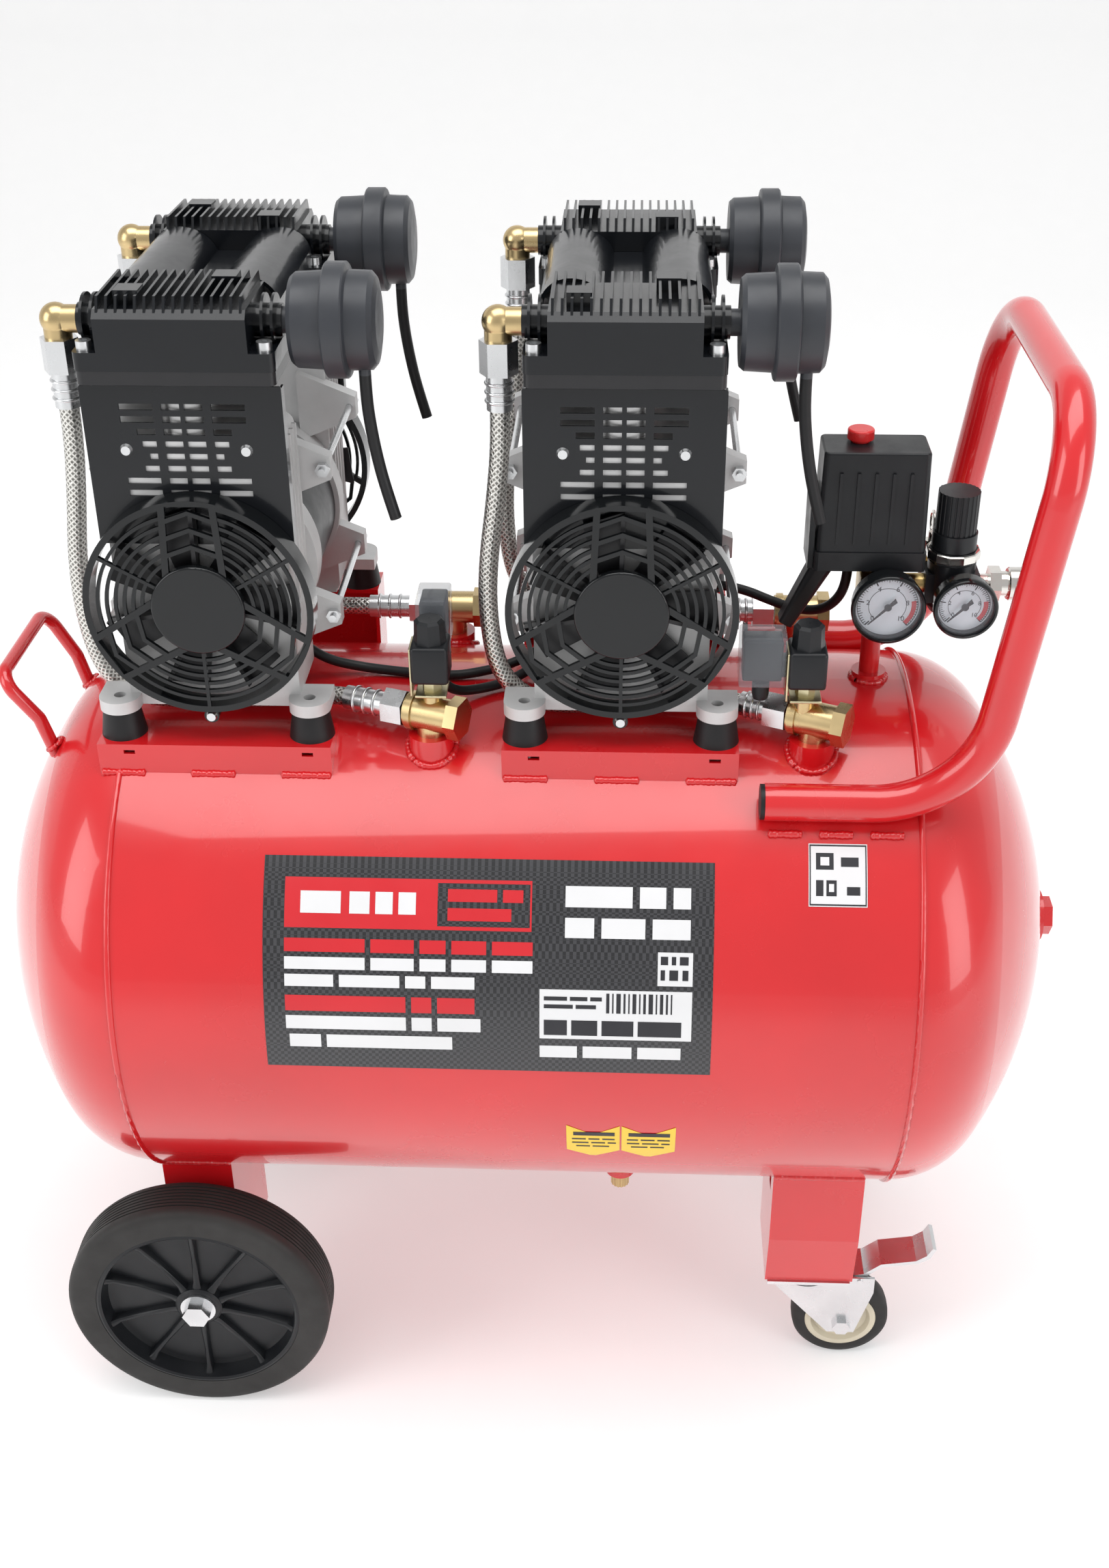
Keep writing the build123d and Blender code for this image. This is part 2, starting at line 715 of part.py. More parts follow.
def cover_block(inset, half):
    """Humped block about a pump's centre, its outline drawn inset from the outer skin."""
    side = cover_width / 2 - inset
    top = cover_top - inset
    valley = cover_top - 15 - inset
    half_valley = 10 + inset
    bottom = cover_bottom - inset
    with BuildPart() as block:
        with BuildSketch(Plane.XZ.offset(half)):
            with BuildLine():
                Polyline((-side, top - 14), (-side, bottom), (side, bottom), (side, top - 14))
                for s in (-1, 1):
                    Spline((s * side, top - 14), (s * (hump_x + 14), top), (s * (hump_x - 6), top - 0.6),
                           (s * half_valley, valley))
                Line((-half_valley, valley), (half_valley, valley))
            make_face()
        extrude(amount=-2 * half)
    return block.part


cover_skin = cover_block(0, cover_half)
cover_hollow = cover_block(cover_wall, cover_half + 1)
with BuildPart() as head_covers:
    for x in pump_xs:
        with Locations((x, pump_y, shaft_z)):
            add(cover_skin)
            add(cover_hollow, mode=Mode.SUBTRACT)
head_covers.part.label = "head_covers"
export_step(head_covers.part, "parts/head_covers.step")

# ---------------------------------------------------------------- vented panels
slot_height = 4.2
slot_pitch = 8.4
outer_slots = (22, 22, 12, 9.5, 5.5, 9.5, 22, 22)
with BuildPart() as panel:
    with BuildSketch(Plane.XZ.offset(crank_front)):
        with Locations((0, panel_top - panel_drop / 2)):
            RectangleRounded(panel_width, panel_drop, 1.5)
        for row, outer in enumerate(outer_slots):
            slot_z = panel_top - 14 - row * slot_pitch
            for s in (-1, 1):
                with Locations((s * 7.5, slot_z)):
                    Rectangle(12, slot_height, mode=Mode.SUBTRACT)
                with Locations((s * (19 + outer / 2), slot_z)):
                    Rectangle(outer, slot_height, mode=Mode.SUBTRACT)
        with Locations((-panel_screw_x, panel_screw_z), (panel_screw_x, panel_screw_z)):
            Circle(screw_hole, mode=Mode.SUBTRACT)
    extrude(amount=panel_thick)
    for s in (-1, 1):
        with Locations((s * (panel_width / 2 - panel_thick / 2), -crank_front + 4, panel_top - panel_drop / 2)):
            Box(panel_thick, 8, panel_drop - 3)
    with Locations(Location((0, -crank_front, 0), (90, 0, 0))):
        Cylinder(bearing_radius + 6, 10, mode=Mode.SUBTRACT)
with BuildPart() as vent_panels:
    for x in pump_xs:
        with Locations((x, pump_y, shaft_z)):
            add(panel.part)
            add(rear_copy(panel.part))
vent_panels.part.label = "vent_panels"
export_step(vent_panels.part, "parts/vent_panels.step")

# ---------------------------------------------------------------- fan guards
ring_radii = (68, 62, 56, 50, 44, 38)  # largest first, because each one clears its inside
with BuildPart() as guard:
    with BuildSketch(Plane.XZ.offset(guard_front)):
        Circle(guard_radius)
        Circle(guard_radius - 4.5, mode=Mode.SUBTRACT)
    extrude(amount=-guard_depth)
    with BuildSketch(Plane.XZ.offset(guard_front - grille)):
        Circle(guard_hub)
    extrude(amount=grille + 2)
    fillet(guard.edges().filter_by(GeomType.CIRCLE).sort_by(Axis.Y)[0], 1.6)
    with BuildSketch(Plane.XZ.offset(guard_front - grille)):
        for radius in ring_radii:
            Circle(radius + 1.2)
            Circle(radius - 1.2, mode=Mode.SUBTRACT)
        Circle(guard_hub)
    extrude(amount=grille - 0.6)
    # clear windows between double bars, then chevron louvres and thin ribs
    for angle in (90, 210, 330):
        frame_plane = Plane.XZ.offset(guard_front - grille)
        with BuildSketch(frame_plane):
            with Locations(Location((0, 0, 0), (0, 0, angle))):
                Polygon((guard_hub - 6, -20), (guard_radius - 4, -18), (guard_radius - 4, 18), (guard_hub - 6, 20),
                        align=None)
            Circle(guard_hub, mode=Mode.SUBTRACT)
        extrude(amount=grille + 1, mode=Mode.SUBTRACT)
        with BuildSketch(frame_plane):
            with Locations(Location((0, 0, 0), (0, 0, angle))):
                for s in (-1, 1):
                    Polygon((guard_hub - 8, s * 17), (guard_radius - 3, s * 14.5), (guard_radius - 3, s * 19),
                            (guard_hub - 8, s * 21.5), align=None)
                for reach in (37, 49, 61):
                    Polygon((reach + 7, 0), (reach, 18), (reach + 3.4, 18), (reach + 10, 0), (reach + 3.4, -18),
                            (reach, -18), align=None)
        extrude(amount=grille)
    for angle in (30, 150, 270):
        with BuildSketch(Plane.XZ.offset(guard_front - grille)):
            with Locations(Location((0, 0, 0), (0, 0, angle))):
                with Locations(((guard_hub + guard_radius) / 2 - 2, 0)):
                    Rectangle(guard_radius - guard_hub, 2.4)
        extrude(amount=grille)
    # fixing lug at the bottom
    with BuildSketch(Plane.XZ.offset(guard_front - 3)):
        with Locations((0, guard_screw_z)):
            Circle(5.2)
            Circle(screw_hole, mode=Mode.SUBTRACT)
    extrude(amount=-8)
with BuildPart() as fan_guards:
    for x in pump_xs:
        with Locations((x, pump_y, shaft_z)):
            add(guard.part)
            add(rear_copy(guard.part))
fan_guards.part.label = "fan_guards"
export_step(fan_guards.part, "parts/fan_guards.step")

# ---------------------------------------------------------------- intake filters
filter_end = filter_start + filter_length
with BuildPart() as intake_filter:
    with BuildSketch(Plane.XZ):
        with BuildLine():
            Polyline((head_width / 2 + 1.5, 0), (head_width / 2 + 1.5, 8.5), (filter_start, 8.5),
                     (filter_start, filter_radius - 4), (filter_start + 3, filter_radius - 1.5),
                     (filter_start + 21, filter_radius - 0.5), (filter_start + 22, band_radius - 1),
                     (filter_start + 23, band_radius), (filter_start + 35, band_radius),
                     (filter_start + 36, band_radius - 1), (filter_start + 37, filter_radius),
                     (filter_end - 4, filter_radius - 0.5), (filter_end - 1, filter_radius - 4),
                     (filter_end + 0.5, filter_radius - 12), (filter_end + 1, 7), (filter_end + 1, 0),
                     close=True)
        make_face()
    revolve(axis=Axis.X)
    # spigot for the drain tube
    with BuildSketch(Plane.XY.offset(-filter_radius - 4)):
        with Locations((filter_end - 11, 0)):
            Circle(drain_radius)
    extrude(amount=8)
with BuildPart() as intake_filters:
    for x in pump_xs:
        with Locations((x, pump_y - head_y, shaft_z + port_z), (x, pump_y + head_y, shaft_z + port_z)):
            add(intake_filter.part)
intake_filters.part.label = "intake_filters"
export_step(intake_filters.part, "parts/intake_filters.step")

# each drain tube hangs from its filter, cut open at the end
drain_route = [(0, 0, 0), (0, 0, -16), (1.6, -0.4, -34), (4.6, -1.2, -54), (9, -2.4, -75), (15.5, -4, -98)]
head_spots = [(x, pump_y + side * head_y) for x in pump_xs for side in (-1, 1)]
drain_names = ("left_front_drain_tube", "left_rear_drain_tube", "right_front_drain_tube", "right_rear_drain_tube")
for name, spot in zip(drain_names, head_spots):
    start = Vector(spot[0] + filter_end - 11, spot[1], shaft_z + port_z - filter_radius - 4)
    drain_tube = tube_along([start + Vector(*step) for step in drain_route], drain_radius)
    drain_tube.label = name
    export_step(drain_tube, f"parts/{name}.step")

# ---------------------------------------------------------------- brass elbows at the heads
elbow_radius = 9.0
with BuildPart() as elbow:
    with BuildLine() as elbow_path:
        FilletPolyline((-head_width / 2 - 1.5, 0, 0), (-elbow_x, 0, 0), (-elbow_x, 0, -12), radius=6)
    with BuildSketch(Plane(origin=elbow_path.line @ 0, z_dir=elbow_path.line % 0)):
        Circle(elbow_radius)
    sweep()
    with Locations((-elbow_x, 0, 0)):
        Sphere(10.5)
with BuildPart() as head_elbows:
    for spot in head_spots:
        with Locations((spot[0], spot[1], shaft_z + port_z)):
            add(elbow.part)
head_elbows.part.label = "head_elbows"
export_step(head_elbows.part, "parts/head_elbows.step")

# ---------------------------------------------------------------- check valves on their bosses
valve_length = 34.0
coil_xs = (tank_x + valve_xs[0] + 2, tank_x + valve_xs[1] - 7.5)
with BuildPart() as valve_body:
    with Locations(Location((0, 0, 0), (0, 90, 0))):
        Cylinder(12.5, valve_length)
    add(hexagon(Plane.YZ.offset(valve_length / 2 - 1), 27, 9))
    with Locations(Location((-valve_length / 2 + 4, 0, 0), (0, 90, 0))):
        Cylinder(14, 5)
with BuildPart() as check_valves:
    for offset, front_turn, coil_x in zip(valve_xs, valve_turns, coil_xs):
        for y, rise, turn, boss_top in ((valve_front_y, valve_front_rise, -front_turn, boss_front_top),
                                        (valve_rear_y, valve_rear_rise, 0, boss_rear_top)):
            with Locations(Location((tank_x + offset, y, axis_height + rise), (0, 0, turn))):
                add(valve_body.part)
            with BuildSketch(Plane.XY.offset(boss_top)):
                with Locations((tank_x + offset, y)):
                    Circle(10)
            extrude(amount=axis_height + rise - boss_top)
        # hollow stud up to the unloader
        with BuildSketch(Plane.XY.offset(axis_height + valve_front_rise)):
            with Locations((coil_x, valve_front_y)):
                Circle(7)
        extrude(amount=18)
check_valves.part.label = "check_valves"
export_step(check_valves.part, "parts/check_valves.step")

# ---------------------------------------------------------------- hose fittings: nuts and crimped ferrules
nut_across = 22.0
hose_drop = shaft_z + port_z - 12  # upper nut's top face


def ferrule(length):
    """Crimped sleeve about +Z, starting at the nut."""
    with BuildPart() as sleeve:
        Cylinder(8.6, length, align=(Align.CENTER, Align.CENTER, Align.MIN))
        with Locations(*[(0, 0, length * share) for share in (0.25, 0.5, 0.75)]):
            Torus(8.8, 1.1)
    return sleeve.part


upper_nut = hexagon(Plane.XY.offset(-22), nut_across, 22)
upper_ferrule = 24.0
lower_nut_start = valve_length / 2 + 1
lower_nut = 16.0
lower_ferrules = (32.0, 20.0)  # left and right pump
with BuildPart() as hose_fittings:
    for spot in head_spots:
        with Locations((spot[0] - elbow_x, spot[1], hose_drop)):
            add(upper_nut)
        with Locations(Location((spot[0] - elbow_x, spot[1], hose_drop - 22), (180, 0, 0))):
            add(ferrule(upper_ferrule))
    for offset, front_turn, length in zip(valve_xs, valve_turns, lower_ferrules):
        for y, rise, turn in ((valve_front_y, valve_front_rise, -front_turn), (valve_rear_y, valve_rear_rise, 0)):
            lean = radians(turn)
            towards = Vector(-cos(lean), -sin(lean), 0)
            centre = Vector(tank_x + offset, y, axis_height + rise)
            nut_plane = Plane(origin=centre + towards * lower_nut_start, x_dir=(0, 0, 1), z_dir=towards)
            add(hexagon(nut_plane, nut_across + 2, lower_nut))
            sleeve_plane = Plane(origin=centre + towards * (lower_nut_start + lower_nut), x_dir=(0, 0, 1),
                                 z_dir=towards)
            with Locations(sleeve_plane.location):
                add(ferrule(length))
hose_fittings.part.label = "hose_fittings"
export_step(hose_fittings.part, "parts/hose_fittings.step")

# ---------------------------------------------------------------- braided hoses
# Steps from the pump's shaft line in x and z, with y from the tank's middle plane.
hose_top = port_z - 12 - 22 - upper_ferrule
under_base = -base_drop - hose_radius - 4.0
hose_names = ("left_front_hose", "left_rear_hose", "right_front_hose", "right_rear_hose")


def hose_route(x, offset, length, row):
    """Points of one hose, from the ferrule at its head down and under the base to its check valve."""
    valve_y, rise, turn, top_y, run_y = row
    lean = radians(turn)
    towards = Vector(-cos(lean), -sin(lean), 0)
    valve = Vector(tank_x + offset, valve_y, axis_height + rise)
    end = valve + towards * (lower_nut_start + lower_nut + length)
    low = shaft_z + under_base
    shift = run_y - top_y
    return [
        (x - elbow_x, top_y, shaft_z + hose_top),
        (x - elbow_x, top_y, shaft_z + hose_top - 22),
        (x - elbow_x - 4, top_y + shift * 0.08, shaft_z + hose_top - 62),
        (x - elbow_x - 10.5, top_y + shift * 0.25, shaft_z + hose_top - 108),
        (x - elbow_x - 12, top_y + shift * 0.5, shaft_z + hose_top - 146),
        (x - elbow_x - 7.5, top_y + shift * 0.72, shaft_z - 60),
        (x - elbow_x + 5, top_y + shift * 0.9, shaft_z - 81.5),
        (x - elbow_x + 26, run_y, low + 0.3),
        (x - 20, run_y + 0.6, low),
        (x + 14, run_y + 1.5, low + 0.2),
        (x + 40, run_y + 3, low + 0.9),
        tuple(end + towards * 12),
        tuple(end),
    ]


hose_number = 0
for offset, front_turn, x, length in zip(valve_xs, valve_turns, pump_xs, lower_ferrules):
    hose_rows = (
        (valve_front_y, valve_front_rise, -front_turn, pump_y - head_y, -52.0),
        (valve_rear_y, valve_rear_rise, 0, pump_y + head_y, 102.0),
    )
    for row in hose_rows:
        hose = tube_along(hose_route(x, offset, length, row), hose_radius)
        hose.label = hose_names[hose_number]
        export_step(hose, f"parts/{hose_names[hose_number]}.step")
        hose_number += 1

# ---------------------------------------------------------------- unloader valves on the front check valves
coil_z = axis_height + valve_front_rise + 28
coil_size = 26.0
coil_gland = 13.0
clear_boxes = (
    (coil_xs[0], (0, 30.5, 33), (23, 32, 38)),
    (coil_xs[1], (-30.5, 2, 19.5), (32, 24, 38)),
)
with BuildPart() as unloader_valves:
    for x, place, size in clear_boxes:
        with Locations((x, valve_front_y, coil_z - 9)):
            Box(22, 24, 2)
        with Locations((x - 12, valve_front_y, coil_z + 7)):
            Box(2, 24, 34)
        with Locations((x, valve_front_y, coil_z + 15)):
            Box(coil_size, coil_size + 2, 28)
        with BuildSketch(Plane.XY.offset(coil_z + 29)):
            with Locations((x, valve_front_y)):
                RegularPolygon(11.5, 8)
        extrude(amount=17, taper=6)
        with BuildSketch(Plane.XY.offset(coil_z - 10)):
            with Locations((x, valve_front_y)):
                Circle(7)
        extrude(amount=12)
        with Locations((x + place[0], valve_front_y + place[1], coil_z + place[2])):
            Box(*size)
        with BuildSketch(Plane.XY.offset(coil_z + place[2] - size[2] / 2)):
            with Locations((x + place[0], valve_front_y + place[1])):
                Circle(6)
        extrude(amount=-coil_gland)
unloader_valves.part.label = "unloader_valves"
export_step(unloader_valves.part, "parts/unloader_valves.step")

# ---------------------------------------------------------------- riser, manifold and outlet arm
cx = tank_x + control_x
mz = axis_height + manifold_rise
regulator_cx = tank_x + regulator_x
with BuildPart() as manifold:
    with BuildSketch(Plane.XY.offset(axis_height + tank_radius + 0.5)):
        with Locations((cx, control_y)):
            Circle(riser_radius - 0.01)
    extrude(amount=manifold_rise - tank_radius)
    with Locations((cx, control_y, mz)):
        Box(26, 26, 24)
    add(hexagon(Plane.XY.offset(mz + 12).shift_origin((cx, control_y, mz + 12)), 20, 9))
    with Locations(Location(((cx + regulator_cx - 19) / 2, control_y, mz + 3), (0, 90, 0))):
        Cylinder(7, regulator_cx - 19 - cx)
manifold.part.label = "manifold"
export_step(manifold.part, "parts/manifold.step")

# ---------------------------------------------------------------- pressure switch
sx = tank_x + switch_x
sz = axis_height + switch_bottom
base_part_height = 14.0
switch_gland_x = tank_x + 234
switch_gland_y = control_y + 10
with BuildPart() as switch_base:
    with Locations((sx, control_y, sz + base_part_height / 2)):
        Box(switch_width + 2, switch_depth + 2, base_part_height)
    fillet(switch_base.edges().filter_by(Axis.Z), 3)
    # side terminal plate and cable sleeve to the lower left
    with Locations((sx - switch_width / 2 - 3, control_y, sz + 26)):
        Box(4, switch_depth - 8, 52)
    with BuildSketch(Plane(origin=(sx - 31, control_y - 4, sz + 1), x_dir=(0, 1, 0), z_dir=(-0.5, 0, -1))):
        RectangleRounded(22, 16, 5)
    extrude(amount=54, taper=3)
    # gland for the motor's cable
    with Locations((switch_gland_x, switch_gland_y, sz - 4)):
        Cylinder(6, 8)
switch_base.part.label = "switch_base"
export_step(switch_base.part, "parts/switch_base.step")

knob_bore = 7.0
with BuildPart() as switch_cover:
    with BuildSketch(Plane.XY.offset(sz + base_part_height)):
        with Locations((sx, control_y)):
            RectangleRounded(switch_width, switch_depth, 4)
    with BuildSketch(Plane.XY.offset(sz + switch_height)):
        with Locations((sx, control_y)):
            RectangleRounded(switch_width - 3, switch_depth - 3, 4)
    loft()
    fillet(switch_cover.edges().group_by(Axis.Z)[-1], 1.6)
    with Locations(*[(sx - 24 + 12 * k, control_y - switch_depth / 2 + 0.4, sz + 46) for k in range(5)]):
        Box(2.2, 2, 52)
    with BuildSketch(Plane.XY.offset(sz + switch_height - 16)):
        with Locations((sx - 10, control_y + 6)):
            Circle(knob_bore)
    extrude(amount=30, mode=Mode.SUBTRACT)
switch_cover.part.label = "switch_cover"
export_step(switch_cover.part, "parts/switch_cover.step")

with BuildPart() as switch_knob:
    with BuildSketch(Plane.XY.offset(sz + switch_height - 8)):
        with Locations((sx - 10, control_y + 6)):
            Circle(knob_bore - gap)
    extrude(amount=8 + 2)
    with BuildSketch(Plane.XY.offset(sz + switch_height + 2)):
        with Locations((sx - 10, control_y + 6)):
            Circle(9.3)
    extrude(amount=7)
    fillet(switch_knob.edges().group_by(Axis.Z)[-1], 1.5)
switch_knob.part.label = "switch_knob"
export_step(switch_knob.part, "parts/switch_knob.step")

# ---------------------------------------------------------------- pressure gauges
case_depth = 19.0
glass_depth = 2.0
dial_depth = 9.0
gauges = (
    (cx + 4.5, mz, gauge_big, control_y - 13),
    (tank_x + gauge_small_x, mz + 1, gauge_small, control_y - 17.5),
)
with BuildPart() as gauge_cases:
    for x, z, radius, stem_end in gauges:
        face = gauge_face_y - 3
        with BuildSketch(Plane.XZ.offset(-face)):
            with Locations((x, z)):
                Circle(radius)
        extrude(amount=-case_depth)
        with BuildSketch(Plane.XZ.offset(-face)):
            with Locations((x, z)):
                Circle(radius - 2.2)
        extrude(amount=-dial_depth, mode=Mode.SUBTRACT)
        with BuildSketch(Plane.XZ.offset(-face)):
            with Locations((x, z)):
                Circle(radius - 2.2)
        extrude(amount=-glass_depth)
        with BuildSketch(Plane.XZ.offset(-(face + case_depth))):
            with Locations((x, z)):
                RegularPolygon(6.5, 6, major_radius=False)
        extrude(amount=-(stem_end - face - case_depth))
        with BuildSketch(Plane.XZ.offset(-(face + dial_depth))):
            with Locations((x, z)):
                Circle(1.5)
        extrude(amount=2.0)
gauge_cases.part.label = "gauge_cases"
export_step(gauge_cases.part, "parts/gauge_cases.step")

# each needle rests on zero at the lower left, above the dial and under the glass
for name, (x, z, radius, _) in zip(("large_needle", "small_needle"), gauges):
    with BuildPart() as needle:
        plane = Plane(origin=(x, gauge_face_y - 3 + dial_depth - 3.0, z), x_dir=(1, 0, 0), z_dir=(0, -1, 0))
        with BuildSketch(plane):
            with Locations(Location((0, 0, 0), (0, 0, 225))):
                Polygon((-radius * 0.32, -1.6), (-radius * 0.28, 1.6), (0, 0.9), (radius * 0.72, 0.25),
                        (radius * 0.72, -0.25), (0, -0.9), align=None)
            Circle(2.6)
        extrude(amount=1.0)
    needle.part.label = name
    export_step(needle.part, f"parts/{name}.step")

# ---------------------------------------------------------------- regulator
body_top = axis_height + 303.0
knob_bottom = axis_height + 312.5
knob_height = 42.0
spindle_radius = 4.0
with BuildPart() as regulator_body:
    with BuildSketch(Plane.XY.offset(axis_height + 264)):
        with Locations((regulator_cx, control_y)):
            Circle(13)
    with BuildSketch(Plane.XY.offset(axis_height + 270)):
        with Locations((regulator_cx, control_y)):
            Circle(17)
    loft()
    with BuildSketch(Plane.XY.offset(axis_height + 270)):
        with Locations((regulator_cx, control_y)):
            Circle(17)
    extrude(amount=33)
    with Locations((regulator_cx, control_y, mz + 3)):
        Box(38, 22, 22)
    # hexagonal ring nut at the top
    with BuildSketch(Plane.XY.offset(body_top)):
        with Locations((regulator_cx, control_y)):
            RegularPolygon(17.6, 8)
    extrude(amount=9)
    with BuildSketch(Plane.XZ.offset(-(control_y - 8))):
        with Locations((tank_x + gauge_small_x, mz + 1)):
            Circle(8)
    extrude(amount=9.5)
    with BuildSketch(Plane.XY.offset(body_top - 14)):
        with Locations((regulator_cx, control_y)):
            Circle(spindle_radius + 0.08)
    extrude(amount=40, mode=Mode.SUBTRACT)
regulator_body.part.label = "regulator_body"
export_step(regulator_body.part, "parts/regulator_body.step")

with BuildPart() as regulator_spindle:
    with BuildSketch(Plane.XY.offset(body_top - 12)):
        with Locations((regulator_cx, control_y)):
            Circle(spindle_radius)
    extrude(amount=38)
regulator_spindle.part.label = "regulator_spindle"
export_step(regulator_spindle.part, "parts/regulator_spindle.step")

with BuildPart() as regulator_knob:
    with BuildSketch(Plane.XY.offset(knob_bottom)):
        with Locations((regulator_cx, control_y)):
            Circle(knob_radius)
    extrude(amount=12)
    with BuildSketch(Plane.XY.offset(knob_bottom + 12)):
        with Locations((regulator_cx, control_y)):
            Circle(knob_radius - 1.2)
            with PolarLocations(knob_radius - 1.0, 24):
                Circle(0.8, mode=Mode.SUBTRACT)
    extrude(amount=knob_height - 12)
    fillet(regulator_knob.edges().group_by(Axis.Z)[-1].sort_by(SortBy.LENGTH)[-1], 0.6)
    with BuildSketch(Plane.XY.offset(knob_bottom)):
        with Locations((regulator_cx, control_y)):
            Circle(spindle_radius + 0.08)
    extrude(amount=knob_height - 12, mode=Mode.SUBTRACT)
regulator_knob.part.label = "regulator_knob"
export_step(regulator_knob.part, "parts/regulator_knob.step")

# ---------------------------------------------------------------- outlet coupler and safety valve
coupler_start = regulator_cx + 19
coupler_bore = 4.8
nipple_radius = 9.0
sleeve_travel = 5.0
coupler_end = tank_x + 366.0
valve_x = tank_x + 294.0
safety_y = control_y + 25
safety_top = 26.0
with BuildPart() as outlet_fittings:
    coupler_plane = Plane(origin=(coupler_start, control_y, mz + 3), x_dir=(0, 1, 0), z_dir=(1, 0, 0))
    with BuildSketch(coupler_plane):
        Circle(7)
    extrude(amount=8)
    add(hexagon(coupler_plane.offset(8), 22, 8))
    with BuildSketch(coupler_plane.offset(16)):
        Circle(nipple_radius)
    extrude(amount=coupler_end - coupler_start - 16)
    with BuildSketch(coupler_plane.offset(coupler_end - coupler_start)):
        Circle(coupler_bore)
    extrude(amount=-22, mode=Mode.SUBTRACT)
    # safety valve behind the regulator
    with BuildSketch(Plane.XZ.offset(-(control_y + 11))):
        with Locations((valve_x, mz + 3)):
            Circle(5)
    extrude(amount=-10)
    with BuildSketch(Plane.XY.offset(mz - 3)):
        with Locations((valve_x, safety_y)):
            RegularPolygon(6, 6, major_radius=False)
    extrude(amount=13)
    with BuildSketch(Plane.XY.offset(mz + 10)):
        with Locations((valve_x, safety_y)):
            Circle(5)
            Circle(2.4, mode=Mode.SUBTRACT)
    extrude(amount=safety_top - 10)
outlet_fittings.part.label = "outlet_fittings"
export_step(outlet_fittings.part, "parts/outlet_fittings.step")

ring_top = mz + safety_top
with BuildPart() as safety_ring:
    with BuildSketch(Plane.XY.offset(mz + 12)):
        with Locations((valve_x, safety_y)):
            Circle(2.4 - 0.06)
    extrude(amount=safety_top - 12 + 6)
    with Locations(Location((valve_x, safety_y, ring_top + 13), (0, 90, 0))):
        Torus(8, 1.1)
safety_ring.part.label = "safety_ring"
export_step(safety_ring.part, "parts/safety_ring.step")

with BuildPart() as coupler_sleeve:
    with BuildSketch(coupler_plane.offset(16 + sleeve_travel + 0.5)):
        Circle(12)
        Circle(nipple_radius + 0.08, mode=Mode.SUBTRACT)
    extrude(amount=coupler_end - coupler_start - 16 - sleeve_travel - 4)
    sleeve_rims = coupler_sleeve.edges().filter_by(GeomType.CIRCLE).filter_by(lambda e: e.radius > 11)
    chamfer(sleeve_rims, 1.0)
coupler_sleeve.part.label = "coupler_sleeve"
export_step(coupler_sleeve.part, "parts/coupler_sleeve.step")

# ---------------------------------------------------------------- wheels
rim_radius = 82.0
hub_bore = axle_radius + 0.08
spokes = 10
with BuildPart() as wheel:
    # tyre with rounded shoulders and shallow grooves
    with BuildSketch(Plane.YZ):
        with BuildLine():
            inner = rim_radius - 1
            outer = wheel_radius
            Polyline((0, inner), (0, outer - 7))
            ThreePointArc((0, outer - 7), (2.0, outer - 2.0), (7, outer))
            Line((7, outer), (wheel_width - 7, outer))
            ThreePointArc((wheel_width - 7, outer), (wheel_width - 2.0, outer - 2.0), (wheel_width, outer - 7))
            Polyline((wheel_width, outer - 7), (wheel_width, inner), (0, inner))
        make_face()
        with Locations(*[(9 + 3.7 * k, outer) for k in range(7)]):
            Rectangle(1.2, 2.4, mode=Mode.SUBTRACT)
    revolve(axis=Axis.Y)
    # dished rim with spokes
    with BuildSketch(Plane.XZ):
        Circle(rim_radius)
        Circle(rim_radius - 4, mode=Mode.SUBTRACT)
    extrude(amount=-wheel_width)
    with BuildSketch(Plane.XZ.offset(-14)):
        Circle(rim_radius - 3)
    extrude(amount=-3)
    with BuildSketch(Plane.XZ.offset(-4)):
        Circle(18)
    extrude(amount=-(wheel_width - 6))
    with BuildSketch(Plane.XZ.offset(-6)):
        with PolarLocations(0, spokes):
            with Locations((rim_radius / 2, 0)):
                Rectangle(rim_radius - 4, 3.2)
    extrude(amount=-9)
    with BuildSketch(Plane.XZ.offset(1)):
        Circle(hub_bore)
    extrude(amount=-wheel_width - 2, mode=Mode.SUBTRACT)
with BuildPart() as front_wheel:
    with Locations((tank_x + wheel_x, -wheel_face, wheel_radius)):
        add(wheel.part)
front_wheel.part.label = "front_wheel"
export_step(front_wheel.part, "parts/front_wheel.step")
with BuildPart() as rear_wheel:
    with Locations((tank_x + wheel_x, wheel_face, wheel_radius)):
        add(rear_copy(wheel.part))
rear_wheel.part.label = "rear_wheel"
export_step(rear_wheel.part, "parts/rear_wheel.step")

# ---------------------------------------------------------------- casters
plate_thick = 3.0
fork_sheet = 2.5
caster_axle = 4.0
swivel_radius = 7.0
fork_gap = caster_wheel_width / 2 + 1.5
axle_x = caster_x + caster_trail
plate_bottom = caster_height - plate_thick
fork_top = plate_bottom - 9
lever_pivot = (axle_x + 12, fork_top - 3.5)


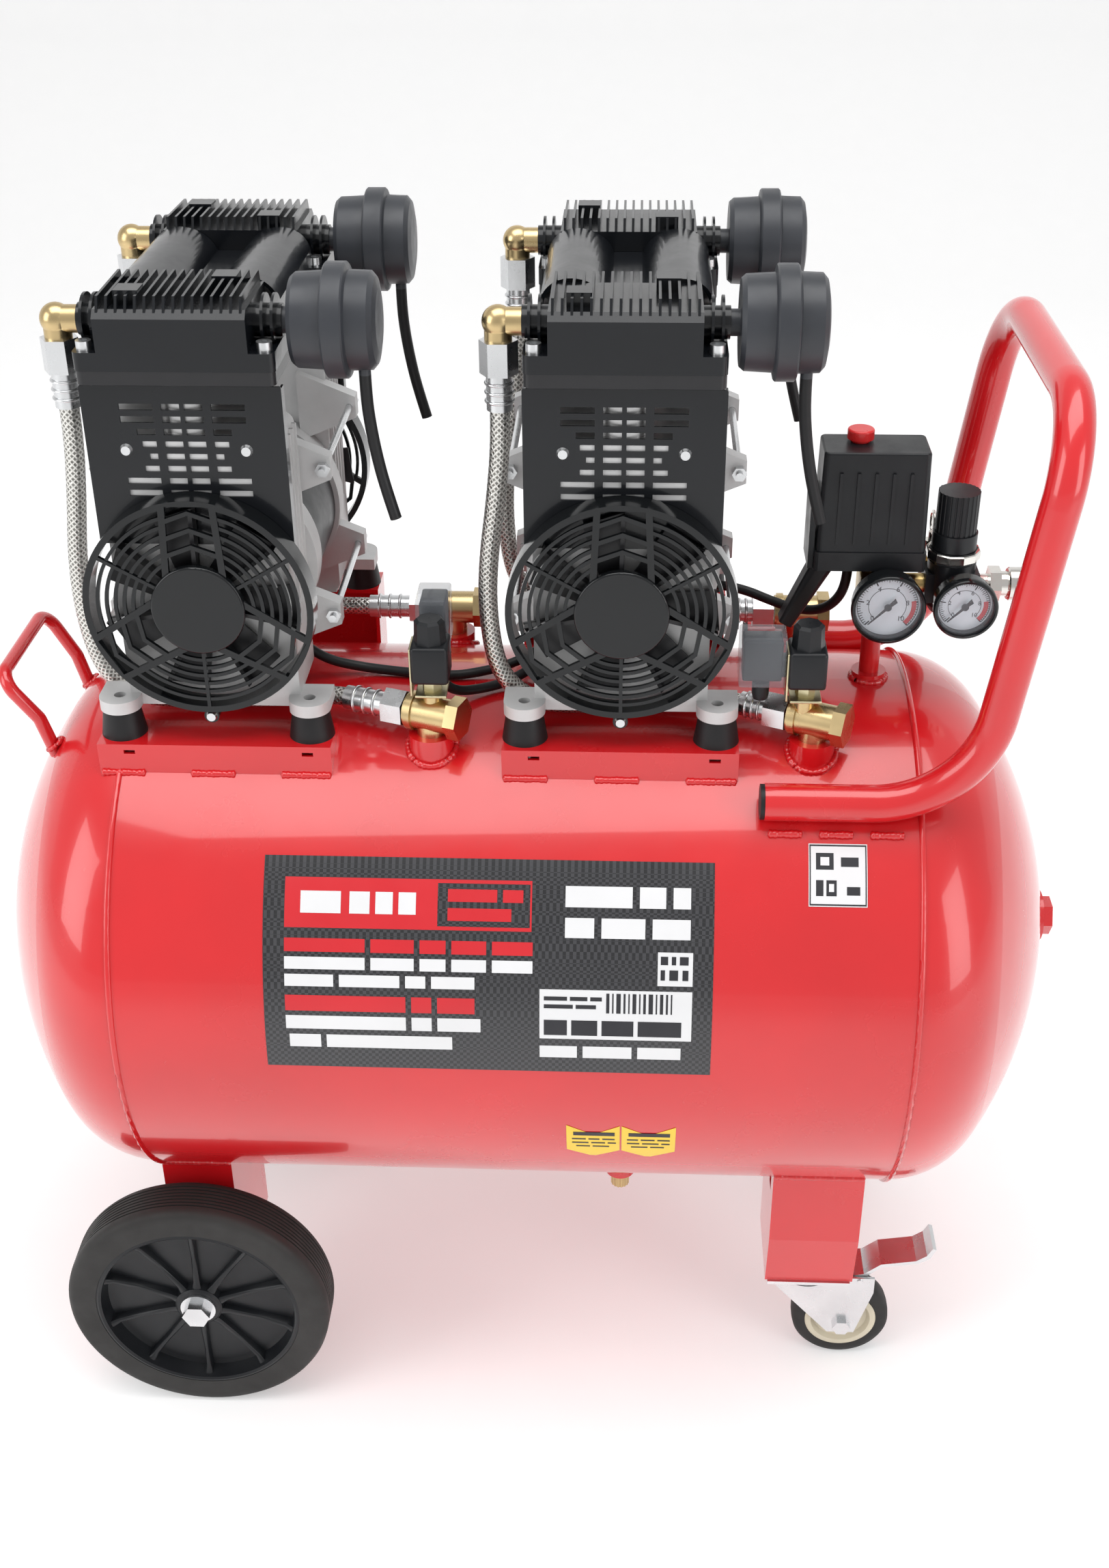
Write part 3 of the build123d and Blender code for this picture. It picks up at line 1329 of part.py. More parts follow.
def caster_parts(side):
    """Fork, wheel and brake lever of one caster, placed at the front (-1) or rear (1)."""
    y = side * caster_y
    with BuildPart() as fork:
        with BuildSketch(Plane.XY.offset(fork_top)):
            with Locations((tank_x + caster_x, y)):
                Circle(27)
            with Locations((tank_x + (caster_x + axle_x) / 2, y)):
                Rectangle(caster_trail + 10, 2 * (fork_gap + fork_sheet))
        extrude(amount=-fork_sheet)
        for s in (-1, 1):
            with BuildSketch(Plane.XZ.offset(-(y + s * (fork_gap + fork_sheet / 2)) + fork_sheet / 2)):
                with BuildLine():
                    Polyline((tank_x + caster_x - 24, fork_top), (tank_x + axle_x + 24, fork_top),
                             (tank_x + axle_x + 24, fork_top - 16), (tank_x + axle_x + 11, caster_wheel_radius - 9),
                             (tank_x + axle_x - 11, caster_wheel_radius - 9), (tank_x + caster_x - 24, fork_top - 10),
                             close=True)
                make_face()
                with Locations((tank_x + axle_x, caster_wheel_radius)):
                    Circle(caster_axle - 0.01, mode=Mode.SUBTRACT)
            extrude(amount=-fork_sheet)
        with BuildSketch(Plane.XY.offset(fork_top)):
            with Locations((tank_x + caster_x, y)):
                Circle(20)
                Circle(swivel_radius + 0.08, mode=Mode.SUBTRACT)
        extrude(amount=6)
        with BuildSketch(Plane.XY.offset(fork_top - fork_sheet - 1)):
            with Locations((tank_x + caster_x, y)):
                Circle(swivel_radius + 0.08)
        extrude(amount=6, mode=Mode.SUBTRACT)
        axle = Location((tank_x + axle_x, y, caster_wheel_radius), (90, 0, 0))
        with Locations(axle):
            Cylinder(caster_axle, 2 * (fork_gap + fork_sheet) + 8)
        for s in (-1, 1):
            nut_y = y + s * (fork_gap + fork_sheet)
            nut_plane = Plane(origin=(tank_x + axle_x, nut_y, caster_wheel_radius), x_dir=(1, 0, 0), z_dir=(0, s, 0))
            add(hexagon(nut_plane, 13, 5))
        # pin of the brake lever
        pivot = Location((tank_x + lever_pivot[0], y, lever_pivot[1]), (90, 0, 0))
        with Locations(pivot):
            Cylinder(2.5, 2 * (fork_gap + fork_sheet) + 2)
    with BuildPart() as roller:
        with BuildSketch(Plane.XZ.offset(-y + caster_wheel_width / 2)):
            with Locations((tank_x + axle_x, caster_wheel_radius)):
                Circle(caster_wheel_radius)
                Circle(caster_axle + 0.08, mode=Mode.SUBTRACT)
        extrude(amount=-caster_wheel_width)
        rims = roller.edges().filter_by(GeomType.CIRCLE).filter_by(lambda e: e.radius > 20)
        fillet(rims, 4)
    with BuildPart() as lever:
        with BuildSketch(Plane.XZ.offset(-y + 14)):
            with BuildLine():
                px = tank_x + lever_pivot[0]
                pz = lever_pivot[1]
                Polyline((px - 5, pz + 4), (px + 3, pz + 6), (px + 16, pz + 17), (px + 44, pz + 22),
                         (px + 52, pz + 28), (px + 56, pz + 36), (px + 59, pz + 35), (px + 55, pz + 25),
                         (px + 46, pz + 19), (px + 17, pz + 14), (px + 6, pz + 4), (px + 6, pz - 4),
                         (px - 5, pz - 4), close=True)
            make_face()
            with Locations((px, pz)):
                Circle(2.5 + 0.08, mode=Mode.SUBTRACT)
        extrude(amount=-28)
    return fork.part, roller.part, lever.part


for side, word in ((-1, "front"), (1, "rear")):
    pieces = caster_parts(side)
    for piece, kind in zip(pieces, ("caster_fork", "caster_wheel", "brake_lever")):
        piece.label = f"{word}_{kind}"
        export_step(piece, f"parts/{word}_{kind}.step")

# axle bolts of the big wheels, caster top plates with their swivel pins
bolt_head = 9.0
with BuildPart() as wheel_hardware:
    for side in (-1, 1):
        with Locations(Location((tank_x + wheel_x, side * (wheel_face + wheel_leg_front - 12) / 2, wheel_radius),
                                (90, 0, 0))):
            Cylinder(axle_radius, wheel_face - wheel_leg_front + 12 + 2)
        head_plane = Plane(origin=(tank_x + wheel_x, side * (wheel_face - 2.3), wheel_radius), x_dir=(1, 0, 0),
                           z_dir=(0, side, 0))
        add(hexagon(head_plane, 19, bolt_head))
        with Locations(Location((tank_x + wheel_x, side * (wheel_face - 3), wheel_radius), (90, 0, 0))):
            Cylinder(14, 1.6)
        nut_plane = Plane(origin=(tank_x + wheel_x, side * (wheel_leg_front - sheet), wheel_radius), x_dir=(1, 0, 0),
                          z_dir=(0, -side, 0))
        add(hexagon(nut_plane, 19, 9))
        spacer = wheel_face - wheel_width + 2 - wheel_leg_front - 0.3
        with Locations(Location((tank_x + wheel_x, side * (wheel_leg_front + spacer / 2), wheel_radius),
                                (90, 0, 0))):
            Cylinder(12, spacer)
        with Locations((tank_x + caster_x, side * (leg_front - 40), caster_height - plate_thick / 2)):
            Box(caster_leg_width - 4, 64, plate_thick)
        with Locations((tank_x + caster_x, side * caster_y, fork_top + 2)):
            Cylinder(swivel_radius, 16)
        with Locations((tank_x + caster_x, side * caster_y, fork_top - fork_sheet - 1.8)):
            Cylinder(11, 3)
wheel_hardware.part.label = "wheel_hardware"
export_step(wheel_hardware.part, "parts/wheel_hardware.step")

# ---------------------------------------------------------------- fasteners
with BuildPart() as socket_bolt:
    Cylinder(3.1, flange_thick + lower_flange, align=(Align.CENTER, Align.CENTER, Align.MAX))
    Cylinder(5, 6, align=(Align.CENTER, Align.CENTER, Align.MIN))
    with BuildSketch(Plane.XY.offset(6)):
        RegularPolygon(2.5, 6, major_radius=False)
    extrude(amount=-3, mode=Mode.SUBTRACT)
with BuildPart() as pan_screw:
    Cylinder(2.0, 8, align=(Align.CENTER, Align.CENTER, Align.MAX))
    with BuildSketch(Plane.XY):
        Circle(4.2)
    extrude(amount=2.4, taper=25)
with BuildPart() as guard_screw:
    Cylinder(2.0, 22, align=(Align.CENTER, Align.CENTER, Align.MAX))
    with BuildSketch(Plane.XY):
        Circle(4.2)
    extrude(amount=2.4, taper=25)
with BuildPart() as fasteners:
    for x in pump_xs:
        for side in (-1, 1):
            for sx_sign in (-1, 1):
                for sy_sign in (-1, 1):
                    bolt_y = pump_y + side * head_y + sy_sign * head_bolt_y
                    with Locations((x + sx_sign * head_bolt_x, bolt_y, shaft_z + block_z)):
                        add(socket_bolt.part)
                screw_y = pump_y + side * (crank_front + panel_thick)
                spin = 90 if side < 0 else -90
                with Locations(Location((x + sx_sign * panel_screw_x, screw_y, shaft_z + panel_screw_z),
                                        (spin, 0, 0))):
                    add(pan_screw.part)
            lug_y = pump_y + side * (guard_front - 3)
            with Locations(Location((x, lug_y, shaft_z + guard_screw_z), (90 if side < 0 else -90, 0, 0))):
                add(guard_screw.part)
        for rod_side in (-1, 1):
            for rod_z in rod_zs:
                with Locations(Location((x + rod_side * rod_x, pump_y, shaft_z + rod_z), (90, 0, 0))):
                    Cylinder(rod_radius, 2 * (crank_rear + 12))
                for side in (-1, 1):
                    nut_plane = Plane(origin=(x + rod_side * rod_x, pump_y + side * (crank_rear + 4), shaft_z + rod_z),
                                      x_dir=(1, 0, 0), z_dir=(0, side, 0))
                    add(hexagon(nut_plane, 9, 5))
fasteners.part.label = "fasteners"
export_step(fasteners.part, "parts/fasteners.step")

# ---------------------------------------------------------------- cables lying on the tank
ridge = tank_radius + cable_radius
bell_drop = shaft_rise - 56
box_x, box_y = valve_xs[0] + 2, valve_front_y + 30.5
gland_bottom = valve_front_rise + 28 + 33 - 19 - coil_gland
lx, rx = pump_offsets
cable_routes = {
    "pump_link_cable": [
        (lx + 40, -7, bell_drop - 4),
        (lx + 52, -7, ridge + 21),
        (lx + 68, -6, ridge + 9.5),
        (lx + 89, -3, ridge + 3),
        (lx + 112, -4, ridge + 0.4),
        (lx + 136, -8, ridge + 0.2),
        (lx + 160, -10, ridge),
        (rx - 112, -8, ridge + 0.6),
        (rx - 90, -3, ridge + 3.4),
        (rx - 69, 3, ridge + 10),
        (rx - 53, 7, ridge + 21),
        (rx - 42, 8, bell_drop - 1),
    ],
    "unloader_cable": [
        (box_x, box_y, gland_bottom),
        (box_x, box_y, gland_bottom - 12.5),
        (box_x + 5, box_y + 3.5, gland_bottom - 24),
        (box_x + 13.5, box_y + 9.5, ridge + 2.9),
        (box_x + 28, box_y + 18.5, ridge + 0.1),
        (box_x + 45, box_y + 27, ridge + 0.6),
        (box_x + 60, box_y + 34, ridge + 5.4),
        (rx - 59, -10.5, ridge + 14.4),
        (rx - 49, -7.8, ridge + 25),
        (rx - 41.5, -7, bell_drop - 4),
    ],
    "switch_cable": [
        (rx + gland_reach, gland_y, shaft_rise - 50),
        (rx + gland_reach + 18, gland_y, shaft_rise - 50),
        (rx + gland_reach + 38, gland_y - 3, shaft_rise - 53),
        (rx + gland_reach + 56, gland_y - 10, shaft_rise - 58),
        (rx + gland_reach + 74, gland_y - 20, shaft_rise - 60),
        (rx + gland_reach + 90, gland_y - 31, shaft_rise - 56),
        (rx + gland_reach + 101, gland_y - 40, shaft_rise - 45),
        (234, control_y + 10, shaft_rise - 28),
        (234, control_y + 10, switch_bottom - 8),
    ],
}
for name, route in cable_routes.items():
    cable = tube_along([Vector(x + tank_x, y, z + axis_height) for x, y, z in route], cable_radius)
    cable.label = name
    export_step(cable, f"parts/{name}.step")
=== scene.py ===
"""Looks of the twin stack compressor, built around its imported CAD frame. Metres, +X right, +Y rear, +Z up."""
from math import cos, pi, radians, sin, sqrt

import bmesh
import bpy
from mathutils import Matrix, Vector


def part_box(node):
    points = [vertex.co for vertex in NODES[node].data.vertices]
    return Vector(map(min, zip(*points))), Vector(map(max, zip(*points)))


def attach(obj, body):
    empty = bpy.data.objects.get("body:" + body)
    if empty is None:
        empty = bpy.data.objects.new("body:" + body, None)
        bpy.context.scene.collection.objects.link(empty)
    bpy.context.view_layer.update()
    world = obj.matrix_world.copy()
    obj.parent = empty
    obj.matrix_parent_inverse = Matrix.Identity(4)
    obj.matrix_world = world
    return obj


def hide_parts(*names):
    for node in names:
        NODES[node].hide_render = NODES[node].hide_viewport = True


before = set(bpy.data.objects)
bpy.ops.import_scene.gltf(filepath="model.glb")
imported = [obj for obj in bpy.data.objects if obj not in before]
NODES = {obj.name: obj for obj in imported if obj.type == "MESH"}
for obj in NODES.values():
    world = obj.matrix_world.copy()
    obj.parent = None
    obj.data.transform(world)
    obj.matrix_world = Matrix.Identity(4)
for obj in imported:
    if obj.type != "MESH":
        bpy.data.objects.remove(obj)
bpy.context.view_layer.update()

MM = 0.001

# ------------------------------------------------------------------ places repeated from the CAD, in mm
TANK_X, AXIS_Z = -7.0, 370.0
TANK_R = 208.0
PUMP_XS = (-219.0, 65.5)
PUMP_Y, SHAFT_Z = 44.0, 675.5
HEAD_Y = 100.0
PORT_Z = 184.5
WHEEL_X, WHEEL_R, WHEEL_FACE, WHEEL_W = -263.0, 104.0, 190.0, 40.0
CASTER_X, CASTER_Y, CASTER_TRAIL, CASTER_R = 223.0, 108.0, 32.0, 40.0
VALVE_XS, RISER_X = (-61.0, 207.0), 254.0  # from the tank's middle
VALVE_YS, CONTROL_Y = (-80.0, 98.0), 5.0  # check valves front and rear; riser and regulator
VALVE_RISES = (218.0, 216.0)  # front and rear, above the tank's axis
GAUGES = (("large", 251.5, 651.0, 26.0), ("small", 305.0, 652.0, 22.5))
GAUGE_FACE_Y = -37.0

# ------------------------------------------------------------------ camera
PITCH, YAW, ROLL = radians(31.0), radians(-2.8), radians(-0.49)
LENS, SENSOR = 41.53, 36.0
EYE = Vector((80.1 + TANK_X, -1190.5, 829.7 + AXIS_Z)) * MM


def make_camera():
    forward = Vector((sin(YAW) * cos(PITCH), cos(YAW) * cos(PITCH), -sin(PITCH)))
    right = Vector((cos(YAW), -sin(YAW), 0))
    up = right.cross(forward)
    turned_right = right * cos(ROLL) + up * sin(ROLL)
    turned_up = up * cos(ROLL) - right * sin(ROLL)
    axes = Matrix((turned_right, turned_up, -forward)).transposed()
    data = bpy.data.cameras.new("camera")
    data.sensor_width = SENSOR
    data.lens = LENS
    data.clip_start = 0.01
    camera = bpy.data.objects.new("camera", data)
    camera.matrix_world = Matrix.Translation(EYE) @ axes.to_4x4()
    bpy.context.scene.collection.objects.link(camera)
    bpy.context.scene.camera = camera


make_camera()


# ------------------------------------------------------------------ material helpers
class Nodes:
    """A short way to write a node tree."""

    def __init__(self, name):
        self.material = bpy.data.materials.new(name)
        self.material.use_nodes = True
        self.tree = self.material.node_tree
        self.shader = self.tree.nodes["Principled BSDF"]

    def add(self, kind, **inputs):
        node = self.tree.nodes.new(kind)
        for key, value in inputs.items():
            node.inputs[key.replace("_", " ")].default_value = value
        return node

    def link(self, a, b):
        self.tree.links.new(a, b)

    def coordinates(self, kind="Object"):
        return self.add("ShaderNodeTexCoord").outputs[kind]

    def noise(self, scale, detail=3.0, rough=0.55, where=None):
        node = self.add("ShaderNodeTexNoise", Scale=scale, Detail=detail, Roughness=rough)
        self.link(where or self.coordinates(), node.inputs["Vector"])
        return node.outputs["Fac"]

    def ramp(self, value, low, high, first, second):
        node = self.add("ShaderNodeMapRange")
        node.inputs["From Min"].default_value = low
        node.inputs["From Max"].default_value = high
        node.inputs["To Min"].default_value = first
        node.inputs["To Max"].default_value = second
        self.link(value, node.inputs["Value"])
        return node.outputs["Result"]

    def mix(self, factor, first, second):
        node = self.tree.nodes.new("ShaderNodeMix")
        node.data_type = "RGBA"
        self.link(factor, node.inputs["Factor"])
        for socket, value in ((node.inputs["A"], first), (node.inputs["B"], second)):
            if isinstance(value, tuple):
                socket.default_value = (*value, 1.0)
            else:
                self.link(value, socket)
        return node.outputs["Result"]

    def math(self, operation, first, second=None):
        """A math node; each input is a socket or a number."""
        node = self.tree.nodes.new("ShaderNodeMath")
        node.operation = operation
        for socket, value in zip(node.inputs, (first, second)):
            if isinstance(value, float):
                socket.default_value = value
            elif value is not None:
                self.link(value, socket)
        return node.outputs[0]

    def bump(self, height, strength, distance):
        node = self.add("ShaderNodeBump", Strength=strength, Distance=distance)
        self.link(height, node.inputs["Height"])
        previous = self.shader.inputs["Normal"]
        if previous.is_linked:
            self.link(previous.links[0].from_socket, node.inputs["Normal"])
        self.link(node.outputs["Normal"], previous)

    def beyond(self, axis, middle, reach):
        """1 where a place is further than reach from middle along an axis, in mm."""
        parts = self.add("ShaderNodeSeparateXYZ")
        self.link(self.coordinates(), parts.inputs[0])
        offset = self.math("SUBTRACT", parts.outputs[axis], middle * MM)
        return self.math("GREATER_THAN", self.math("ABSOLUTE", offset), reach * MM)


def surface(name, colour, rough, metal=0.0, coat=0.0, grain=400.0, grain_depth=0.05, vary=0.12, mottle=18.0,
            shine=0.5):
    """A surface with uneven colour and gloss and a fine grain."""
    n = Nodes(name)
    dark = tuple(c * (1 - vary) for c in colour)
    light = tuple(min(1.0, c * (1 + vary)) for c in colour)
    patches = n.noise(mottle, 4.0)
    n.link(n.mix(n.ramp(patches, 0.3, 0.7, 0.0, 1.0), dark, light), n.shader.inputs["Base Color"])
    smudges = n.noise(mottle * 2.3, 5.0, 0.6)
    gloss = n.ramp(smudges, 0.3, 0.7, max(0.03, rough * 0.8), min(1.0, rough * 1.25))
    n.link(gloss, n.shader.inputs["Roughness"])
    n.shader.inputs["Metallic"].default_value = metal
    n.shader.inputs["Specular IOR Level"].default_value = shine
    n.shader.inputs["Coat Weight"].default_value = coat
    n.shader.inputs["Coat Roughness"].default_value = 0.06
    n.bump(n.noise(grain, 3.0), 0.5, grain_depth * MM)
    return n.material


RED = surface("red_gloss_paint", (0.62, 0.008, 0.012), 0.24, coat=0.8, grain=160, grain_depth=0.06,
              vary=0.08, mottle=6)
CAST = surface("cast_aluminium", (0.62, 0.62, 0.62), 0.5, metal=0.35, grain=900, grain_depth=0.16, vary=0.1)
BLACK_PAINT = surface("black_satin_paint", (0.006, 0.007, 0.009), 0.22, coat=0.25, grain=500,
                      grain_depth=0.05, shine=0.3)
BLACK_GLOSS = surface("black_gloss_plastic", (0.006, 0.007, 0.008), 0.18, coat=0.25, grain=300,
                      grain_depth=0.03, shine=0.3)
BLACK_MATTE = surface("black_matte_plastic", (0.009, 0.010, 0.012), 0.36, grain=1400,
                      grain_depth=0.04, shine=0.35)
GREY_PLASTIC = surface("charcoal_plastic", (0.032, 0.035, 0.042), 0.4, grain=1500, grain_depth=0.05)
RUBBER = surface("black_rubber", (0.010, 0.010, 0.011), 0.45, grain=1100, grain_depth=0.06, shine=0.35)
TYRE = surface("tyre_rubber", (0.030, 0.029, 0.028), 0.6, grain=1200, grain_depth=0.1, shine=0.3)
BRASS = surface("machined_brass", (0.58, 0.44, 0.23), 0.28, metal=1.0, grain=700, grain_depth=0.03, vary=0.16)
ZINC = surface("bright_zinc", (0.72, 0.73, 0.74), 0.27, metal=1.0, grain=900, grain_depth=0.04, vary=0.1)
YELLOW_ZINC = surface("yellow_zinc", (0.62, 0.56, 0.36), 0.34, metal=1.0, grain=900,
                      grain_depth=0.04, vary=0.2)
NICKEL = surface("nickel_plate", (0.74, 0.72, 0.68), 0.16, metal=1.0, grain=700, grain_depth=0.02)
RED_PLASTIC = surface("red_plastic", (0.62, 0.015, 0.015), 0.3, coat=0.2, grain=800, grain_depth=0.03)
CREAM = surface("cream_plastic", (0.66, 0.60, 0.46), 0.45, grain=1000, grain_depth=0.05)
DIAL_WHITE = surface("dial_face", (0.72, 0.78, 0.84), 0.5, grain=900, grain_depth=0.01, vary=0.03)
INK = surface("printed_ink", (0.02, 0.02, 0.025), 0.5, grain=900, grain_depth=0.01)


def label_film(name, colour, vary=0.03):
    """Printed film with a light gloss."""
    return surface(name, colour, 0.35, coat=0.3, grain=900, grain_depth=0.01, vary=vary)


LABEL_WHITE = label_film("label_white", (0.75, 0.75, 0.76))
LABEL_RED = label_film("label_red", (0.6, 0.012, 0.02), 0.04)
LABEL_YELLOW = label_film("label_yellow", (0.85, 0.58, 0.02))


def make_glass(name, colour, alpha, rough):
    n = Nodes(name)
    n.shader.inputs["Base Color"].default_value = (*colour, 1.0)
    n.link(n.ramp(n.noise(60), 0.3, 0.7, rough * 0.7, rough * 1.3), n.shader.inputs["Roughness"])
    n.shader.inputs["Alpha"].default_value = alpha
    n.shader.inputs["IOR"].default_value = 1.5
    return n.material


GLASS = make_glass("gauge_glass", (0.85, 0.92, 1.0), 0.05, 0.05)
CLEAR = make_glass("clear_box", (0.30, 0.32, 0.35), 0.3, 0.1)


def make_carbon():
    """Black film with a fine twill weave."""
    n = Nodes("carbon_film")
    checks = n.add("ShaderNodeTexChecker", Scale=420.0)
    n.link(n.coordinates(), checks.inputs["Vector"])
    weave = n.mix(checks.outputs["Fac"], (0.012, 0.012, 0.014), (0.045, 0.045, 0.05))
    n.link(weave, n.shader.inputs["Base Color"])
    n.link(n.ramp(n.noise(25), 0.3, 0.7, 0.26, 0.4), n.shader.inputs["Roughness"])
    n.shader.inputs["Coat Weight"].default_value = 0.4
    return n.material


def make_braid():
    """Stainless wire from the hose's own wound coordinates: bright steel on the crossings, darkened in the gaps
    between the wires as painted shade.
    """
    n = Nodes("stainless_braid")
    n.shader.inputs["Metallic"].default_value = 1.0
    wires = []
    for sign in (1.0, -1.0):
        parts = n.add("ShaderNodeSeparateXYZ")
        n.link(n.coordinates("UV"), parts.inputs[0])
        along = n.math("MULTIPLY", parts.outputs["Y"], sign)
        wires.append(n.math("SINE", n.math("ADD", parts.outputs["X"], along)))
    crossing = n.math("MAXIMUM", *wires)
    # Painted shade: the base colour darkens where the wires dip into the gaps between crossings.
    bright = n.ramp(crossing, -0.2, 0.9, 0.0, 1.0)
    n.link(n.mix(bright, (0.22, 0.215, 0.20), (0.78, 0.77, 0.73)), n.shader.inputs["Base Color"])
    n.link(n.ramp(n.noise(300), 0.3, 0.7, 0.25, 0.42), n.shader.inputs["Roughness"])
    n.bump(crossing, 0.6, 0.25 * MM)
    return n.material


CARBON = make_carbon()
BRAID = make_braid()


def blended(name, first, second, first_rough, second_rough, first_metal, second_metal, test):
    """One shader whose colour, gloss and metal change where the test holds."""
    n = Nodes(name)
    factor = test(n)
    speckle = n.ramp(n.noise(60), 0.3, 0.7, 0.0, 1.0)
    tones = [n.mix(speckle, tuple(c * 0.85 for c in tone), tone) for tone in (first, second)]
    n.link(n.mix(factor, tones[0], tones[1]), n.shader.inputs["Base Color"])
    n.link(n.ramp(factor, 0, 1, first_rough, second_rough), n.shader.inputs["Roughness"])
    n.link(n.ramp(factor, 0, 1, first_metal, second_metal), n.shader.inputs["Metallic"])
    n.bump(n.noise(700), 0.5, 0.06 * MM)
    return n.material


# The rotor stays grey metal; the fans beyond 121 mm from the pumps' middle along Y are near black, painted
# shade for the dark inside the fan guards.
ROTOR_WITH_SHADED_FANS = blended("rotor_and_fans_painted_shade", (0.45, 0.45, 0.45), (0.012, 0.012, 0.014), 0.35, 0.4, 1.0, 0.0,
                lambda n: n.beyond("Y", PUMP_Y, 121.0))
CYLINDER = blended("cylinder_and_flange", (0.55, 0.55, 0.55), (0.012, 0.012, 0.014), 0.4, 0.3, 0.9, 0.0,
                   lambda n: n.beyond("Z", SHAFT_Z + 112.0, 39.9))
MANIFOLD = blended("riser_and_block", (0.6, 0.01, 0.012), (0.55, 0.40, 0.17), 0.26, 0.3, 0.0, 1.0,
                   lambda n: n.beyond("Z", 578.0, 59.5))

# ------------------------------------------------------------------ materials on the CAD nodes
CAD_MATERIALS = {
    "tank": RED, "tank_ports": RED, "saddles": RED, "chassis_legs": RED, "main_handle": RED,
    "lifting_handle": RED, "drain_screw": BRASS, "rubber_feet": RUBBER, "crankcases": CAST,
    "motor_stators": BLACK_MATTE,
    "left_rotor": ROTOR_WITH_SHADED_FANS, "right_rotor": ROTOR_WITH_SHADED_FANS, "cylinders": CYLINDER, "cylinder_heads": BLACK_PAINT,
    "head_covers": BLACK_PAINT, "vent_panels": BLACK_PAINT, "fan_guards": BLACK_GLOSS,
    "intake_filters": GREY_PLASTIC,
    "head_elbows": BRASS, "check_valves": BRASS, "hose_fittings": ZINC, "unloader_valves": BLACK_MATTE,
    "manifold": MANIFOLD, "switch_base": BLACK_MATTE, "switch_cover": BLACK_MATTE, "switch_knob": RED_PLASTIC,
    "gauge_cases": BLACK_GLOSS, "large_needle": INK, "small_needle": INK,
    "regulator_body": BLACK_MATTE, "regulator_spindle": ZINC, "regulator_knob": BLACK_MATTE,
    "outlet_fittings": NICKEL, "safety_ring": NICKEL, "coupler_sleeve": NICKEL,
    "front_caster_fork": ZINC, "rear_caster_fork": ZINC, "front_brake_lever": ZINC, "rear_brake_lever": ZINC,
    "wheel_hardware": ZINC, "fasteners": ZINC,
}
for side in ("left", "right"):
    for end in ("front", "rear"):
        CAD_MATERIALS[f"{side}_{end}_piston"] = CAST


def smooth_by_angle(obj, degrees=32.0):
    """Round faces shade smooth and edges stay sharp."""
    mesh = obj.data
    mesh.polygons.foreach_set("use_smooth", [True] * len(mesh.polygons))
    mesh.set_sharp_from_angle(angle=radians(degrees))


for name, material in CAD_MATERIALS.items():
    NODES[name].data.materials.clear()
    NODES[name].data.materials.append(material)


# ------------------------------------------------------------------ mesh helpers
def link_mesh(name, bm, material, body="frame", smooth=32.0):
    """A finished bmesh as a piece that rides on a body."""
    bmesh.ops.recalc_face_normals(bm, faces=bm.faces)
    mesh = bpy.data.meshes.new(name)
    bm.to_mesh(mesh)
    bm.free()
    obj = bpy.data.objects.new(name, mesh)
    mesh.materials.append(material)
    bpy.context.scene.collection.objects.link(obj)
    if smooth:
        smooth_by_angle(obj, smooth)
    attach(obj, body)
    return obj


def revolve(bm, profile, centre, axis, steps=96):
    """Closed ring solid: (radius, along) profile points turned about an axis through centre, in mm."""
    axis = Vector(axis).normalized()
    first = axis.orthogonal().normalized()
    second = axis.cross(first)
    rings = []
    for k in range(steps):
        angle = 2 * pi * k / steps
        out = first * cos(angle) + second * sin(angle)
        rings.append([bm.verts.new((Vector(centre) + out * r + axis * a) * MM) for r, a in profile])
    count = len(profile)
    for k in range(steps):
        here, after = rings[k], rings[(k + 1) % steps]
        for i in range(count):
            j = (i + 1) % count
            bm.faces.new((here[i], after[i], after[j], here[j]))


def rounded_box(bm, centre, size, radius, segments=3):
    """Box with rounded edges, in mm."""
    made = bmesh.ops.create_cube(bm, size=1.0)
    verts = made["verts"]
    for v in verts:
        v.co = Vector((centre[i] + v.co[i] * size[i] for i in range(3))) * MM
    edges = {e for v in verts for e in v.link_edges}
    bmesh.ops.bevel(bm, geom=list(edges), offset=radius * MM, segments=segments, profile=0.5, affect="EDGES")


def disc_ring(bm, inner, outer, start, end, centre, lift, thick, steps):
    """Flat ring sector in an XZ plane facing -Y, angles in degrees from +X, in mm."""
    rows = []
    for k in range(steps + 1):
        angle = radians(start + (end - start) * k / steps)
        row = []
        for r, y in ((inner, -lift), (outer, -lift), (outer, -lift + thick), (inner, -lift + thick)):
            place = (centre[0] + r * cos(angle), centre[1] + y, centre[2] + r * sin(angle))
            row.append(bm.verts.new(Vector(place) * MM))
        rows.append(row)
    for here, after in zip(rows, rows[1:]):
        for i in range(4):
            j = (i + 1) % 4
            bm.faces.new((here[i], here[j], after[j], after[i]))
    bm.faces.new(rows[0])
    bm.faces.new(list(reversed(rows[-1])))


# ------------------------------------------------------------------ cords
def centreline(name, points):
    """Places along the route's smooth NURBS line, in metres."""
    curve = bpy.data.curves.new(name + "_line", "CURVE")
    curve.dimensions = "3D"
    curve.resolution_u = 24
    spline = curve.splines.new("NURBS")
    spline.points.add(len(points) - 1)
    for place, point in zip(spline.points, points):
        place.co = (*(Vector(point) * MM), 1.0)
    spline.order_u = 3
    spline.use_endpoint_u = True
    holder = bpy.data.objects.new(name + "_line", curve)
    bpy.context.scene.collection.objects.link(holder)
    bpy.context.view_layer.update()
    mesh = bpy.data.meshes.new_from_object(holder)
    line = [v.co.copy() for v in mesh.vertices]
    bpy.data.objects.remove(holder)
    bpy.data.meshes.remove(mesh)
    return line


